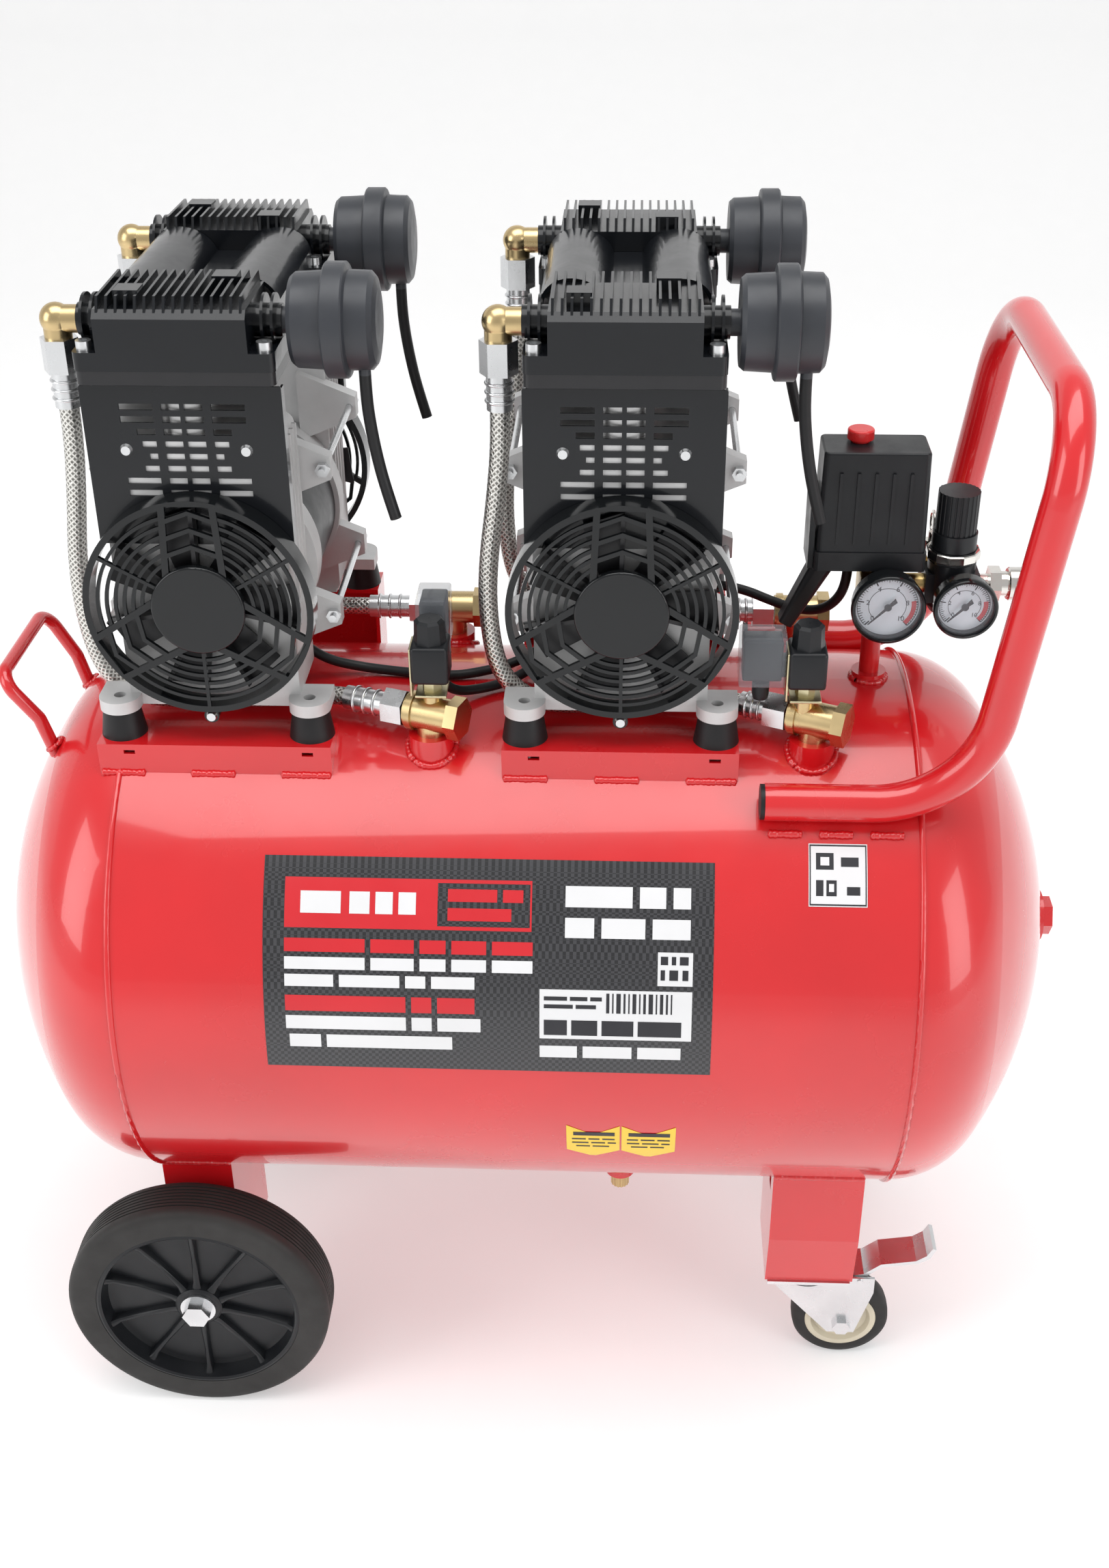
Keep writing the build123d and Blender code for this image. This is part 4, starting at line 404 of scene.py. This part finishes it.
def resample(line, step):
    """Even steps along a line."""
    lengths = [0.0]
    for a, b in zip(line, line[1:]):
        lengths.append(lengths[-1] + (b - a).length)
    total = lengths[-1]
    count = max(8, int(total / step))
    spots = []
    k = 0
    for i in range(count + 1):
        goal = total * i / count
        while k < len(lengths) - 2 and lengths[k + 1] < goal:
            k += 1
        span = max(1e-9, lengths[k + 1] - lengths[k])
        spots.append(line[k].lerp(line[k + 1], (goal - lengths[k]) / span))
    return spots, total


def tube_piece(name, points, radius, material, step=0.003, sides=20, relief=None, turns=0.0, open_end=0.0):
    """Mesh tube along a route, with wound coordinates for its pattern. Returns (piece, length, line)."""
    spots, length = resample(centreline(name, points), step)
    bm = bmesh.new()
    uv = bm.loops.layers.uv.new("UVMap")
    tangent = (spots[1] - spots[0]).normalized()
    side = tangent.orthogonal().normalized()
    rings = []
    for k, spot in enumerate(spots):
        ahead = spots[min(k + 1, len(spots) - 1)] - spots[max(k - 1, 0)]
        tangent = ahead.normalized()
        side = (side - tangent * side.dot(tangent)).normalized()
        other = tangent.cross(side)
        along = length * k / (len(spots) - 1)
        ring = []
        for i in range(sides):
            angle = 2 * pi * i / sides
            r = radius * MM + (relief(angle, along) if relief else 0.0)
            ring.append(bm.verts.new(spot + (side * cos(angle) + other * sin(angle)) * r))
        rings.append(ring)
    for k in range(len(rings) - 1):
        for i in range(sides):
            j = (i + 1) % sides
            face = bm.faces.new((rings[k][i], rings[k][j], rings[k + 1][j], rings[k + 1][i]))
            for loop, (row, column) in zip(face.loops, ((k, i), (k, i + 1), (k + 1, i + 1), (k + 1, i))):
                distance = length * row / (len(spots) - 1)
                loop[uv].uv = (2 * pi * turns * column / sides, turns * distance / (radius * MM))
    for ring, back in ((rings[0], False), (rings[-1], open_end > 0)):
        if back:
            inner = [bm.verts.new(rings[-1][i].co.lerp(spots[-1], open_end)) for i in range(sides)]
            deep = [bm.verts.new(v.co - tangent * 0.012) for v in inner]
            for i in range(sides):
                j = (i + 1) % sides
                bm.faces.new((ring[i], ring[j], inner[j], inner[i]))
                bm.faces.new((inner[i], inner[j], deep[j], deep[i]))
            bm.faces.new(deep)
        else:
            bm.faces.new(ring)
    return link_mesh(name, bm, material, smooth=60.0), length, spots


DRAIN_ROUTE = ((0, 0, 0), (0, 0, -16), (1.6, -0.4, -34), (4.6, -1.2, -54), (9, -2.4, -75), (15.5, -4, -98))
FILTER_DROP_X, FILTER_DROP_Z = 116.0, 149.0
ELBOW_X, ELBOW_DROP = 81.5, 12
UPPER_NUT, UPPER_FERRULE = 22, 24
HOSE_TOP = PORT_Z - ELBOW_DROP - UPPER_NUT - UPPER_FERRULE
LOW = -93.5
VALVE_TO_FERRULE = 34
VALVES = tuple(zip(VALVE_XS, (20.0, 24.0), (32.0, 20.0)))  # x, turn of the front hose, lower ferrule
HOSE_R, TUBE_R, CABLE_R = 6.5, 4.0, 3.6
WIRES, WIRE_PITCH = 10, 0.00095


def hose_route(pump_x, valve_x, length, valve_y, rise, turn, top_y, run_y):
    """The hose's points, as the CAD source gives them."""
    towards = Vector((-cos(radians(turn)), sin(radians(turn)), 0))
    valve = Vector((TANK_X + valve_x, valve_y, AXIS_Z + rise))
    end = valve + towards * (VALVE_TO_FERRULE + length)
    low = SHAFT_Z + LOW
    x = pump_x - ELBOW_X
    shift = run_y - top_y
    top = SHAFT_Z + HOSE_TOP
    return [(x, top_y, top), (x, top_y, top - 22), (x - 4, top_y + shift * 0.08, top - 62),
            (x - 10.5, top_y + shift * 0.25, top - 108), (x - 12, top_y + shift * 0.5, top - 146),
            (x - 7.5, top_y + shift * 0.72, SHAFT_Z - 60), (x + 5, top_y + shift * 0.9, SHAFT_Z - 81.5),
            (x + 26, run_y, low + 0.3), (pump_x - 20, run_y + 0.6, low),
            (pump_x + 14, run_y + 1.5, low + 0.2), (pump_x + 40, run_y + 3, low + 0.9),
            tuple(end + towards * 12), tuple(end)]


def wire_relief(angle, along):
    """Crossing wires stand a little proud of the hose."""
    wave = max(sin(WIRES * angle + along / WIRE_PITCH), sin(WIRES * angle - along / WIRE_PITCH))
    return 0.00012 * wave


def declare_cord(node):
    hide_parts(node)


def make_hoses():
    for side, pump_x, (valve_x, turn, ferrule) in zip(("left", "right"), PUMP_XS, VALVES):
        rows = (("front", VALVE_YS[0], VALVE_RISES[0], turn, PUMP_Y - HEAD_Y, -52.0),
                ("rear", VALVE_YS[1], VALVE_RISES[1], 0.0, PUMP_Y + HEAD_Y, 102.0))
        for end, valve_y, rise, lean, top_y, run_y in rows:
            name = f"{side}_{end}_hose"
            route = hose_route(pump_x, valve_x, ferrule, valve_y, rise, lean, top_y, run_y)
            piece, length, spots = tube_piece(name + "_braid", route, HOSE_R, BRAID, 0.0008, 60,
                                              wire_relief, WIRES)
            declare_cord(name)


def make_drain_tubes():
    for side, pump_x in zip(("left", "right"), PUMP_XS):
        for end, sign in (("front", -1), ("rear", 1)):
            name = f"{side}_{end}_drain_tube"
            start = Vector((pump_x + FILTER_DROP_X, PUMP_Y + sign * HEAD_Y, SHAFT_Z + FILTER_DROP_Z))
            route = [tuple(start + Vector(step)) for step in DRAIN_ROUTE]
            piece, length, spots = tube_piece(name + "_rubber", route, TUBE_R, RUBBER, 0.002, 28,
                                              open_end=0.35)
            declare_cord(name)


RIDGE, BELL = TANK_R + 3.6, 249.5
LX, RX = -212.0, 72.5
BOX_X, BOX_Y, GLAND = -59.0, -49.5, 247.0
CABLES = {
    "pump_link_cable": [
        (LX + 40, -7, BELL - 4), (LX + 52, -7, RIDGE + 21), (LX + 68, -6, RIDGE + 9.5),
        (LX + 89, -3, RIDGE + 3), (LX + 112, -4, RIDGE + 0.4), (LX + 136, -8, RIDGE + 0.2),
        (LX + 160, -10, RIDGE), (RX - 112, -8, RIDGE + 0.6), (RX - 90, -3, RIDGE + 3.4),
        (RX - 69, 3, RIDGE + 10), (RX - 53, 7, RIDGE + 21), (RX - 42, 8, BELL - 1)],
    "unloader_cable": [
        (BOX_X, BOX_Y, GLAND), (BOX_X, BOX_Y, GLAND - 12.5), (BOX_X + 5, BOX_Y + 3.5, GLAND - 24),
        (BOX_X + 13.5, BOX_Y + 9.5, RIDGE + 2.9), (BOX_X + 28, BOX_Y + 18.5, RIDGE + 0.1),
        (BOX_X + 45, BOX_Y + 27, RIDGE + 0.6), (BOX_X + 60, BOX_Y + 34, RIDGE + 5.4),
        (RX - 59, -10.5, RIDGE + 14.4), (RX - 49, -7.8, RIDGE + 25), (RX - 41.5, -7, BELL - 4)],
    "switch_cable": [
        (RX + 54, 60, 255.5), (RX + 72, 60, 255.5), (RX + 92, 57, 252.5), (RX + 110, 50, 247.5),
        (RX + 128, 40, 245.5), (RX + 144, 29, 249.5), (RX + 155, 20, 260.5),
        (234, 15, 277.5), (234, 15, 294)],
}


def make_cables():
    for name, points in CABLES.items():
        route = [(x + TANK_X, y, z + AXIS_Z) for x, y, z in points]
        piece, length, spots = tube_piece(name + "_sheath", route, CABLE_R, RUBBER, 0.002, 24)
        declare_cord(name)


make_hoses()
make_drain_tubes()
make_cables()


# ------------------------------------------------------------------ wheels
def tyre_profile(radius, width, inner, groove_count, groove):
    """Tyre section as (radius, along) points, rounded at the shoulders and grooved on the tread."""
    points = [(inner, 0.6), (radius - 9, 0.0)]
    points += [(radius - 7 + 7 * sin(a), 7 - 7 * cos(a)) for a in (0.25, 0.6, 0.95, 1.3)]
    first, last = 8.0, width - 8.0
    pitch = (last - first) / groove_count
    for k in range(groove_count):
        start = first + k * pitch
        points += [(radius, start), (radius, start + pitch * 0.62), (radius - groove, start + pitch * 0.7),
                   (radius - groove, start + pitch * 0.92)]
    points += [(radius, last)]
    points += [(radius - 7 + 7 * sin(a), width - 7 + 7 * cos(a)) for a in (1.3, 0.95, 0.6, 0.25)]
    points += [(radius - 9, width), (inner, width - 0.6)]
    return points


# reach from the axle, half width and depth of the crest of a spoke's sections, in mm
SPOKE = ((17.0, 3.6, 5.2), (24.0, 2.4, 7.4), (50.0, 1.9, 9.0), (70.0, 2.0, 7.6), (77.5, 3.2, 4.2))
SPOKE_COUNT, SPOKE_BACK = 10, 16.0


def make_wheel(sign, word):
    """Tyre and ten-spoked rim; sign is -1 at the front."""
    body = f"{word}_wheel"
    centre = Vector((WHEEL_X, sign * WHEEL_FACE, WHEEL_R))
    inward = Vector((0, -sign, 0))
    tyre = bmesh.new()
    revolve(tyre, tyre_profile(WHEEL_R, WHEEL_W, 81.0, 7, 2.4), centre, inward, 128)
    tyre_obj = link_mesh(f"{word}_tyre", tyre, TYRE, body, 40.0)
    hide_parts(f"{word}_wheel")
    rim = bmesh.new()
    band = [(81.2, 1.0), (82.0, 2.5), (82.0, 37.5), (77.5, 38.5), (76.5, 30), (76.0, 19), (72, 17.5),
            (22, 15.5), (19, 17), (19, 37), (7.0, 38), (6.3, 36), (6.3, 5), (8, 3.6), (17, 4.0), (18.6, 5.4),
            (19.4, 12.4), (24, 13.0), (70, 14.6), (74.5, 13.5), (76.4, 6), (77.2, 1.6), (79, 0.4)]
    revolve(rim, band, centre, inward, 128)
    link_mesh(f"{word}_rim", rim, BLACK_MATTE, body, 34.0)
    spokes = bmesh.new()
    for k in range(SPOKE_COUNT):
        angle = 2 * pi * (k + 0.5) / SPOKE_COUNT
        out = Vector((cos(angle), 0, sin(angle)))
        across = Vector((-sin(angle), 0, cos(angle)))
        rows = []
        for reach, half, top in SPOKE:
            base = centre + out * reach
            section = ((-1, half + 0.8, SPOKE_BACK), (-1, half, top + 1), (-1, half * 0.5, top),
                       (1, half * 0.5, top), (1, half, top + 1), (1, half + 0.8, SPOKE_BACK))
            rows.append([spokes.verts.new((base + across * s * w + inward * d) * MM)
                         for s, w, d in section])
        for here, after in zip(rows, rows[1:]):
            for i in range(6):
                j = (i + 1) % 6
                spokes.faces.new((here[i], here[j], after[j], after[i]))
        spokes.faces.new(rows[0])
        spokes.faces.new(list(reversed(rows[-1])))
    link_mesh(f"{word}_spokes", spokes, BLACK_MATTE, body, 40.0)


def make_caster_wheel(sign, word):
    """Cream core with a dark tyre."""
    body = f"{word}_caster_wheel"
    centre = Vector((CASTER_X + CASTER_TRAIL, sign * CASTER_Y - 13.0, CASTER_R))
    tread = bmesh.new()
    section = [(29, 2.4), (33, 1.2), (37, 2.0), (39.4, 5.0), (40, 10), (40, 16), (39.4, 21), (37, 24),
               (33, 24.8), (29, 23.6)]
    revolve(tread, section, centre, (0, 1, 0), 96)
    tread_obj = link_mesh(f"{word}_caster_tread", tread, TYRE, body, 50.0)
    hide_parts(f"{word}_caster_wheel")
    core = bmesh.new()
    section = [(29.2, 2.0), (28, 1.2), (24.5, 1.6), (22, 5.5), (13, 6.5), (11, 2.0), (9, 0.4), (5.0, 0.2),
               (4.1, 0.8), (4.1, 25.2), (5.0, 25.8), (9, 25.6), (11, 24), (13, 19.5), (22, 20.5),
               (24.5, 24.4), (28, 24.8), (29.2, 24)]
    revolve(core, section, centre, (0, 1, 0), 96)
    link_mesh(f"{word}_caster_core", core, CREAM, body, 40.0)


for sign, word in ((-1, "front"), (1, "rear")):
    make_wheel(sign, word)
    make_caster_wheel(sign, word)


# ------------------------------------------------------------------ gauges
def make_gauge(word, x, z, radius, replaced):
    """Bezel, case, printed dial and glass."""
    centre = (x, GAUGE_FACE_Y, z)
    case = bmesh.new()
    profile = [(radius - 3.0, 1.2), (radius - 2.2, 0.0), (radius - 0.8, 0.3), (radius, 1.6), (radius, 5.5),
               (radius - 0.8, 6.4), (radius - 1.6, 7.2), (radius - 1.6, 17.0), (radius - 4, 19.0),
               (0.5, 19.0), (0.5, 9.4), (radius - 3.2, 9.4), (radius - 3.4, 3.0)]
    revolve(case, profile, centre, (0, 1, 0), 96)
    case_obj = link_mesh(f"{word}_gauge_case", case, BLACK_GLOSS, smooth=34.0)
    if replaced:
        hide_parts("gauge_cases")
    stem = bmesh.new()
    back = -8.0 if word == "large" else -12.5
    reach = back - GAUGE_FACE_Y - 0.2
    revolve(stem, [(0.3, 19.0), (7.0, 19.0), (7.0, reach), (0.3, reach)], centre, (0, 1, 0), 6)
    link_mesh(f"{word}_gauge_stem", stem, BRASS, smooth=20.0)
    dial = bmesh.new()
    revolve(dial, [(0.3, 8.9), (radius - 3.4, 8.9), (radius - 3.4, 9.6), (0.3, 9.6)], centre, (0, 1, 0), 96)
    link_mesh(f"{word}_dial", dial, DIAL_WHITE, smooth=20.0)
    face = (x, GAUGE_FACE_Y + 8.9, z)
    marks = bmesh.new()
    for k in range(51):
        angle = 225 - 270 * k / 50
        long_mark = 4.2 if k % 10 == 0 else (3.2 if k % 5 == 0 else 2.2)
        half = 1.6 if k % 10 == 0 else 0.7
        outer = radius - 5.0
        disc_ring(marks, outer - long_mark, outer, angle - half, angle + half, face, 0.15, 0.1, 1)
    disc_ring(marks, radius - 5.0, radius - 4.6, -45, 225, face, 0.15, 0.1, 64)
    disc_ring(marks, radius * 0.5, radius * 0.515, -45, 225, face, 0.15, 0.1, 48)
    link_mesh(f"{word}_dial_marks", marks, INK, smooth=0)
    arc = bmesh.new()
    disc_ring(arc, radius - 9.2, radius - 6.0, -45, 12, face, 0.22, 0.1, 24)
    link_mesh(f"{word}_dial_arc", arc, LABEL_RED, smooth=0)
    for k in range(6):
        text = bpy.data.curves.new(f"{word}_dial_number_{k}", "FONT")
        text.body = str(2 * k)
        text.size = radius * 0.2 * MM
        text.align_x = "CENTER"
        text.align_y = "CENTER"
        text.extrude = 0.04 * MM
        number = bpy.data.objects.new(f"{word}_dial_number_{k}", text)
        angle = radians(225 - 54 * k)
        reach = radius - 12.0
        number.location = Vector((x + reach * cos(angle), GAUGE_FACE_Y + 8.75, z + reach * sin(angle))) * MM
        number.rotation_euler = (pi / 2, 0, 0)
        text.materials.append(INK)
        bpy.context.scene.collection.objects.link(number)
        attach(number, "frame")
    glass = bmesh.new()
    dome = [(0.3, 1.4), (radius * 0.6, 1.7), (radius - 3.2, 2.4), (radius - 3.2, 3.4), (0.3, 2.6)]
    revolve(glass, dome, centre, (0, 1, 0), 64)
    link_mesh(f"{word}_gauge_glass", glass, GLASS, smooth=60.0)


for k, (word, x, z, radius) in enumerate(GAUGES):
    make_gauge(word, x, z, radius, k == 0)


# ------------------------------------------------------------------ labels on the tank
def label_patch(bm, x0, x1, low, high, lift, point=0.0, thick=0.12):
    """Thin film on the tank's front between two angles, drooping to a point at its middle."""
    columns = max(2, int((x1 - x0) / 4))
    rows = max(2, int((high - low) / 1.0))
    outer, inner = [], []
    for i in range(columns + 1):
        for j in range(rows + 1):
            x = x0 + (x1 - x0) * i / columns
            droop = point * (1 - abs(2 * i / columns - 1))
            a = radians(low + (high - low) * j / rows - droop)
            for sheet, radius in ((outer, TANK_R + lift + thick), (inner, TANK_R + lift)):
                place = (x + TANK_X, -radius * cos(a), AXIS_Z + radius * sin(a))
                sheet.append(bm.verts.new(Vector(place) * MM))
    stride = rows + 1
    for i in range(columns):
        for j in range(rows):
            k = i * stride + j
            bm.faces.new((outer[k], outer[k + stride], outer[k + stride + 1], outer[k + 1]))
            bm.faces.new((inner[k], inner[k + 1], inner[k + stride + 1], inner[k + stride]))
    for i in range(columns):
        for j in (0, rows):
            k = i * stride + j
            bm.faces.new((outer[k], inner[k], inner[k + stride], outer[k + stride]))
    for j in range(rows):
        for i in (0, columns):
            k = i * stride + j
            bm.faces.new((outer[k], outer[k + 1], inner[k + 1], inner[k]))


def label(name, material, patches, lift, point=0.0):
    bm = bmesh.new()
    for patch in patches:
        label_patch(bm, *patch, lift, point)
    return link_mesh(name, bm, material, smooth=40.0)


def row_of_bars(x0, widths, low, high, space=4.0):
    """Bars of these widths side by side."""
    patches = []
    for width in widths:
        patches.append((x0, x0 + width, low, high))
        x0 += width + space
    return patches


label("main_label", CARBON, [(-172, 139, 1, 43.5)], 0.15)
label("main_label_red", LABEL_RED, [
    (-157, -51, 29.8, 39.4), (-51, 14, 38.7, 39.4), (-51, 14, 29.8, 30.5), (12.8, 14, 30.5, 38.7),
    *row_of_bars(-157, (56, 30, 18, 24, 28), 25.2, 27.8), *row_of_bars(-157, (84, 14, 26), 13.4, 16.6)], 0.3)
label("main_label_red_words", LABEL_RED, [
    *row_of_bars(-44, (34, 14), 35.2, 37.6), *row_of_bars(-44, (44,), 31.6, 34)], 0.3)
label("main_label_white", LABEL_WHITE, [
    *row_of_bars(37, (46, 18, 12), 34.6, 38.6, 5), *row_of_bars(37, (20, 30, 26), 28.8, 32.6, 5),
    *row_of_bars(-157, (56, 30, 18, 24, 28), 21.8, 24.2), *row_of_bars(-157, (34, 42, 14, 30), 18.4, 20.8),
    *row_of_bars(-157, (84, 14, 30), 9.6, 12.4), *row_of_bars(-155, (22, 88), 5.6, 8.4),
    (101, 125, 19.9, 26.4), (20, 125, 8.6, 18.8), *row_of_bars(20, (26, 34, 30), 4.4, 7)], 0.3)
label("main_label_block", LABEL_WHITE, [
    (-146, -118, 32.6, 36.8), *row_of_bars(-112, (14, 12, 12), 32.6, 36.8)], 0.45)
label("main_label_ink", INK, [
    *row_of_bars(66, (2.2, 1, 3, 1.4, 1, 2.6, 1, 1.8, 3, 1, 2.2, 1.4, 1), 14.2, 18.2, 1.9),
    *row_of_bars(23, (16, 12, 8), 16.6, 17.4, 2), *row_of_bars(23, (20, 14), 15, 15.8, 2),
    *row_of_bars(23, (16, 18, 22, 30), 9.4, 12.6, 3),
    *row_of_bars(103, (5, 3, 6), 24, 25.6, 2.5), *row_of_bars(103, (3, 6, 4), 21, 23, 3)], 0.45)
label("side_label", LABEL_WHITE, [(203, 243, 35.6, 47.6)], 0.15)
label("side_label_ink", INK, [
    (203.6, 242.4, 47.1, 47.4), (203.6, 242.4, 35.8, 36.1), (203.6, 204.4, 36.1, 47.1),
    (241.6, 242.4, 36.1, 47.1), (208, 220, 42.6, 45.8), (225, 237, 43.2, 45), (208, 213, 37.6, 40.6),
    (215, 222, 37.6, 40.6), (229, 238, 37.8, 39.4)], 0.3)
label("side_label_hollow", LABEL_WHITE, [(211, 217, 43.4, 45), (216.8, 220.2, 38.4, 39.9)], 0.45)
label("yellow_labels", LABEL_YELLOW, [(38, 76.6, -24, -14.3), (78, 117, -24, -14.3)], 0.15, 3.2)
label("yellow_label_ink", INK, [
    *row_of_bars(43, (30,), -17.9, -16.6), *row_of_bars(83, (30,), -17.9, -16.6),
    *row_of_bars(42, (10, 8, 9), -19.5, -19, 2), *row_of_bars(82, (8, 10, 9), -19.5, -19, 2),
    *row_of_bars(42, (12, 10, 6), -21, -20.5, 2), *row_of_bars(82, (9, 12, 6), -21, -20.5, 2),
    *row_of_bars(45, (10, 12), -22.5, -22, 2), *row_of_bars(85, (12, 10), -22.5, -22, 2)], 0.3)


# ------------------------------------------------------------------ weld beads
def bead(bm, points, radius, lump):
    """Lumpy bead along a line of places, in mm."""
    sides = 10
    spots, length = resample([Vector(p) for p in points], lump / 4)
    rings = []
    for k, spot in enumerate(spots):
        ahead = (spots[min(k + 1, len(spots) - 1)] - spots[max(k - 1, 0)]).normalized()
        side = ahead.orthogonal().normalized()
        other = ahead.cross(side)
        phase = length * k / (len(spots) - 1) / lump
        size = radius * (0.8 + 0.2 * abs(sin(pi * phase)) + 0.08 * sin(1.7 * phase))
        if k in (0, len(spots) - 1):
            size *= 0.3
        ring = []
        for i in range(sides):
            angle = 2 * pi * i / sides
            ring.append(bm.verts.new((spot + (side * cos(angle) + other * sin(angle)) * size) * MM))
        rings.append(ring)
    for here, after in zip(rings, rings[1:]):
        for i in range(sides):
            j = (i + 1) % sides
            bm.faces.new((here[i], here[j], after[j], after[i]))
    bm.faces.new(rings[0])
    bm.faces.new(rings[-1])


def tank_z(y, below=False):
    drop = sqrt(TANK_R**2 - y**2)
    return AXIS_Z - drop if below else AXIS_Z + drop


def make_welds():
    bm = bmesh.new()
    for x in PUMP_XS:
        for y in (PUMP_Y - 148.3, PUMP_Y + 148.3):
            z = tank_z(y)
            for start, stop in ((-82, -50), (-18, 14), (46, 82)):
                bead(bm, [(x + start, y, z), (x + stop, y, z)], 2.6, 3.6)
    for sign in (-1, 1):
        for x, half, y in ((CASTER_X, 35.0, 150.3), (WHEEL_X, 27.5, 138.3)):
            z = tank_z(y, True)
            bead(bm, [(x - half, sign * y, z), (x + half, sign * y, z)], 2.6, 3.6)
        for x in (180.0, 215.0, 250.0):
            bead(bm, [(x - 12, sign * 136, tank_z(136) + 1), (x + 12, sign * 136, tank_z(136) + 1)], 3.0, 3.6)
        foot = Vector((TANK_X - 344, sign * 50, AXIS_Z + 163))
        turns = [2 * pi * k / 12 for k in range(13)]
        ring = [foot + Vector((5.5 * cos(a), 6.0 * sin(a), 8 + 4 * cos(a))) for a in turns]
        bead(bm, ring, 2.0, 3.2)
    ports = [(x, y, 17.2) for y in VALVE_YS for x in VALVE_XS]
    for x, y, r in (*ports, (RISER_X, CONTROL_Y, 12.5)):
        ring = []
        for k in range(29):
            angle = 2 * pi * k / 28
            across = y + r * sin(angle)
            ring.append(Vector((x + TANK_X + r * cos(angle), across, tank_z(across) + 0.8)))
        bead(bm, ring, 2.4, 3.4)
    link_mesh("weld_beads", bm, RED, smooth=70.0)


make_welds()


# ------------------------------------------------------------------ unloader valves on the front check valves
# middle of a coil, then its terminal box: place from the coil's foot and size, in mm
COILS = ((-66.0, (0, 30.5, 33), (23, 32, 38)), (192.5, (-30.5, 2, 19.5), (32, 24, 38)))


def make_unloaders():
    y = VALVE_YS[0]
    coil_z = AXIS_Z + VALVE_RISES[0] + 28.0
    coils, brackets, boxes, inner = bmesh.new(), bmesh.new(), bmesh.new(), bmesh.new()
    for x, place, size in COILS:
        rounded_box(coils, (x, y, coil_z + 15), (26, 28, 28), 2.5)
        cap = [(0.3, 29), (11.5, 29), (11.0, 33), (10.6, 44), (8.5, 46), (0.3, 46)]
        revolve(coils, cap, (x, y, coil_z), (0, 0, 1), 8)
        neck = (x + place[0] * 0.5, y + place[1] * 0.5, coil_z + place[2] - 6)
        rounded_box(coils, neck, (10, 12, 14), 1.5)
        rounded_box(brackets, (x, y, coil_z - 9), (22, 24, 2), 0.8)
        rounded_box(brackets, (x - 13.4, y, coil_z + 9), (1.6, 22, 36), 0.6)
        revolve(brackets, [(0.3, -10), (7, -10), (7, 2), (0.3, 2)], (x, y, coil_z), (0, 0, 1), 6)
        middle = (x + place[0], y + place[1], coil_z + place[2])
        rounded_box(boxes, middle, size, 2.0)
        rounded_box(inner, middle, (size[0] - 5, size[1] - 5, size[2] - 8), 1.5)
        foot = -size[2] / 2
        gland = [(0.3, foot - 13), (5.2, foot - 13), (6, foot - 9), (6, foot), (0.3, foot)]
        revolve(inner, gland, middle, (0, 0, 1), 24)
    coil_obj = link_mesh("unloader_coils", coils, BLACK_MATTE, smooth=30.0)
    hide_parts("unloader_valves")
    link_mesh("unloader_brackets", brackets, YELLOW_ZINC, smooth=30.0)
    link_mesh("unloader_clear_boxes", boxes, CLEAR, smooth=30.0)
    link_mesh("unloader_terminals", inner, BLACK_MATTE, smooth=30.0)


make_unloaders()


def make_regulator_nut():
    """Bright ring nut between the regulator's body and its knob."""
    nut = bmesh.new()
    near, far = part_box("regulator_knob")
    axis_x = (near[0] + far[0]) / 2 / MM
    section = [(16.0, -7.5), (18.4, -7.5), (19.2, -6.8), (19.2, -1.6), (18.4, -0.9), (16.0, -0.9)]
    revolve(nut, section, (axis_x, CONTROL_Y, near[2] / MM), (0, 0, 1), 12)
    link_mesh("regulator_nut", nut, NICKEL, smooth=20.0)


make_regulator_nut()


# ------------------------------------------------------------------ floor and light
def make_stage():
    bm = bmesh.new()
    rows = []
    for y, z in ((-40.0, 0.0), (3.0, 0.0), (4.4, 0.35), (5.2, 1.2), (5.4, 6.0)):
        rows.append([bm.verts.new((x, y, z)) for x in (-40.0, 40.0)])
    for here, after in zip(rows, rows[1:]):
        bm.faces.new((here[0], here[1], after[1], after[0]))
    mesh = bpy.data.meshes.new("floor")
    bm.to_mesh(mesh)
    bm.free()
    floor = bpy.data.objects.new("floor", mesh)
    paper = surface("pale_floor", (0.8, 0.8, 0.8), 0.7, grain=40, grain_depth=0.01, vary=0.01)
    shader = paper.node_tree.nodes["Principled BSDF"]
    shader.inputs["Emission Color"].default_value = (1, 1, 1, 1)
    shader.inputs["Emission Strength"].default_value = 0.3
    mesh.materials.append(paper)
    bpy.context.scene.collection.objects.link(floor)
    for polygon in mesh.polygons:
        polygon.use_smooth = True


def area_light(name, place, aim, size, power):
    data = bpy.data.lights.new(name, "AREA")
    data.shape = "RECTANGLE"
    data.size, data.size_y = size
    data.energy = power
    light = bpy.data.objects.new(name, data)
    light.location = place
    light.rotation_euler = (Vector(aim) - Vector(place)).to_track_quat("-Z", "Y").to_euler()
    bpy.context.scene.collection.objects.link(light)


def make_light():
    world = bpy.data.worlds.new("studio")
    bpy.context.scene.world = world
    world.use_nodes = True
    world.node_tree.nodes["Background"].inputs["Color"].default_value = (1, 1, 1, 1)
    world.node_tree.nodes["Background"].inputs["Strength"].default_value = 0.6
    area_light("top", (0.1, -0.3, 2.9), (0, 0, 0.5), (2.6, 1.6), 42)
    area_light("left", (-2.4, -1.4, 1.6), (0, 0, 0.5), (1.4, 2.0), 26)
    area_light("right", (2.3, -1.8, 1.3), (0, 0, 0.5), (1.2, 2.0), 20)
    bpy.context.scene.view_settings.view_transform = "Standard"


make_stage()
make_light()

# ------------------------------------------------------------------ close
for name in CAD_MATERIALS:
    if NODES[name].visible_get():
        smooth_by_angle(NODES[name])
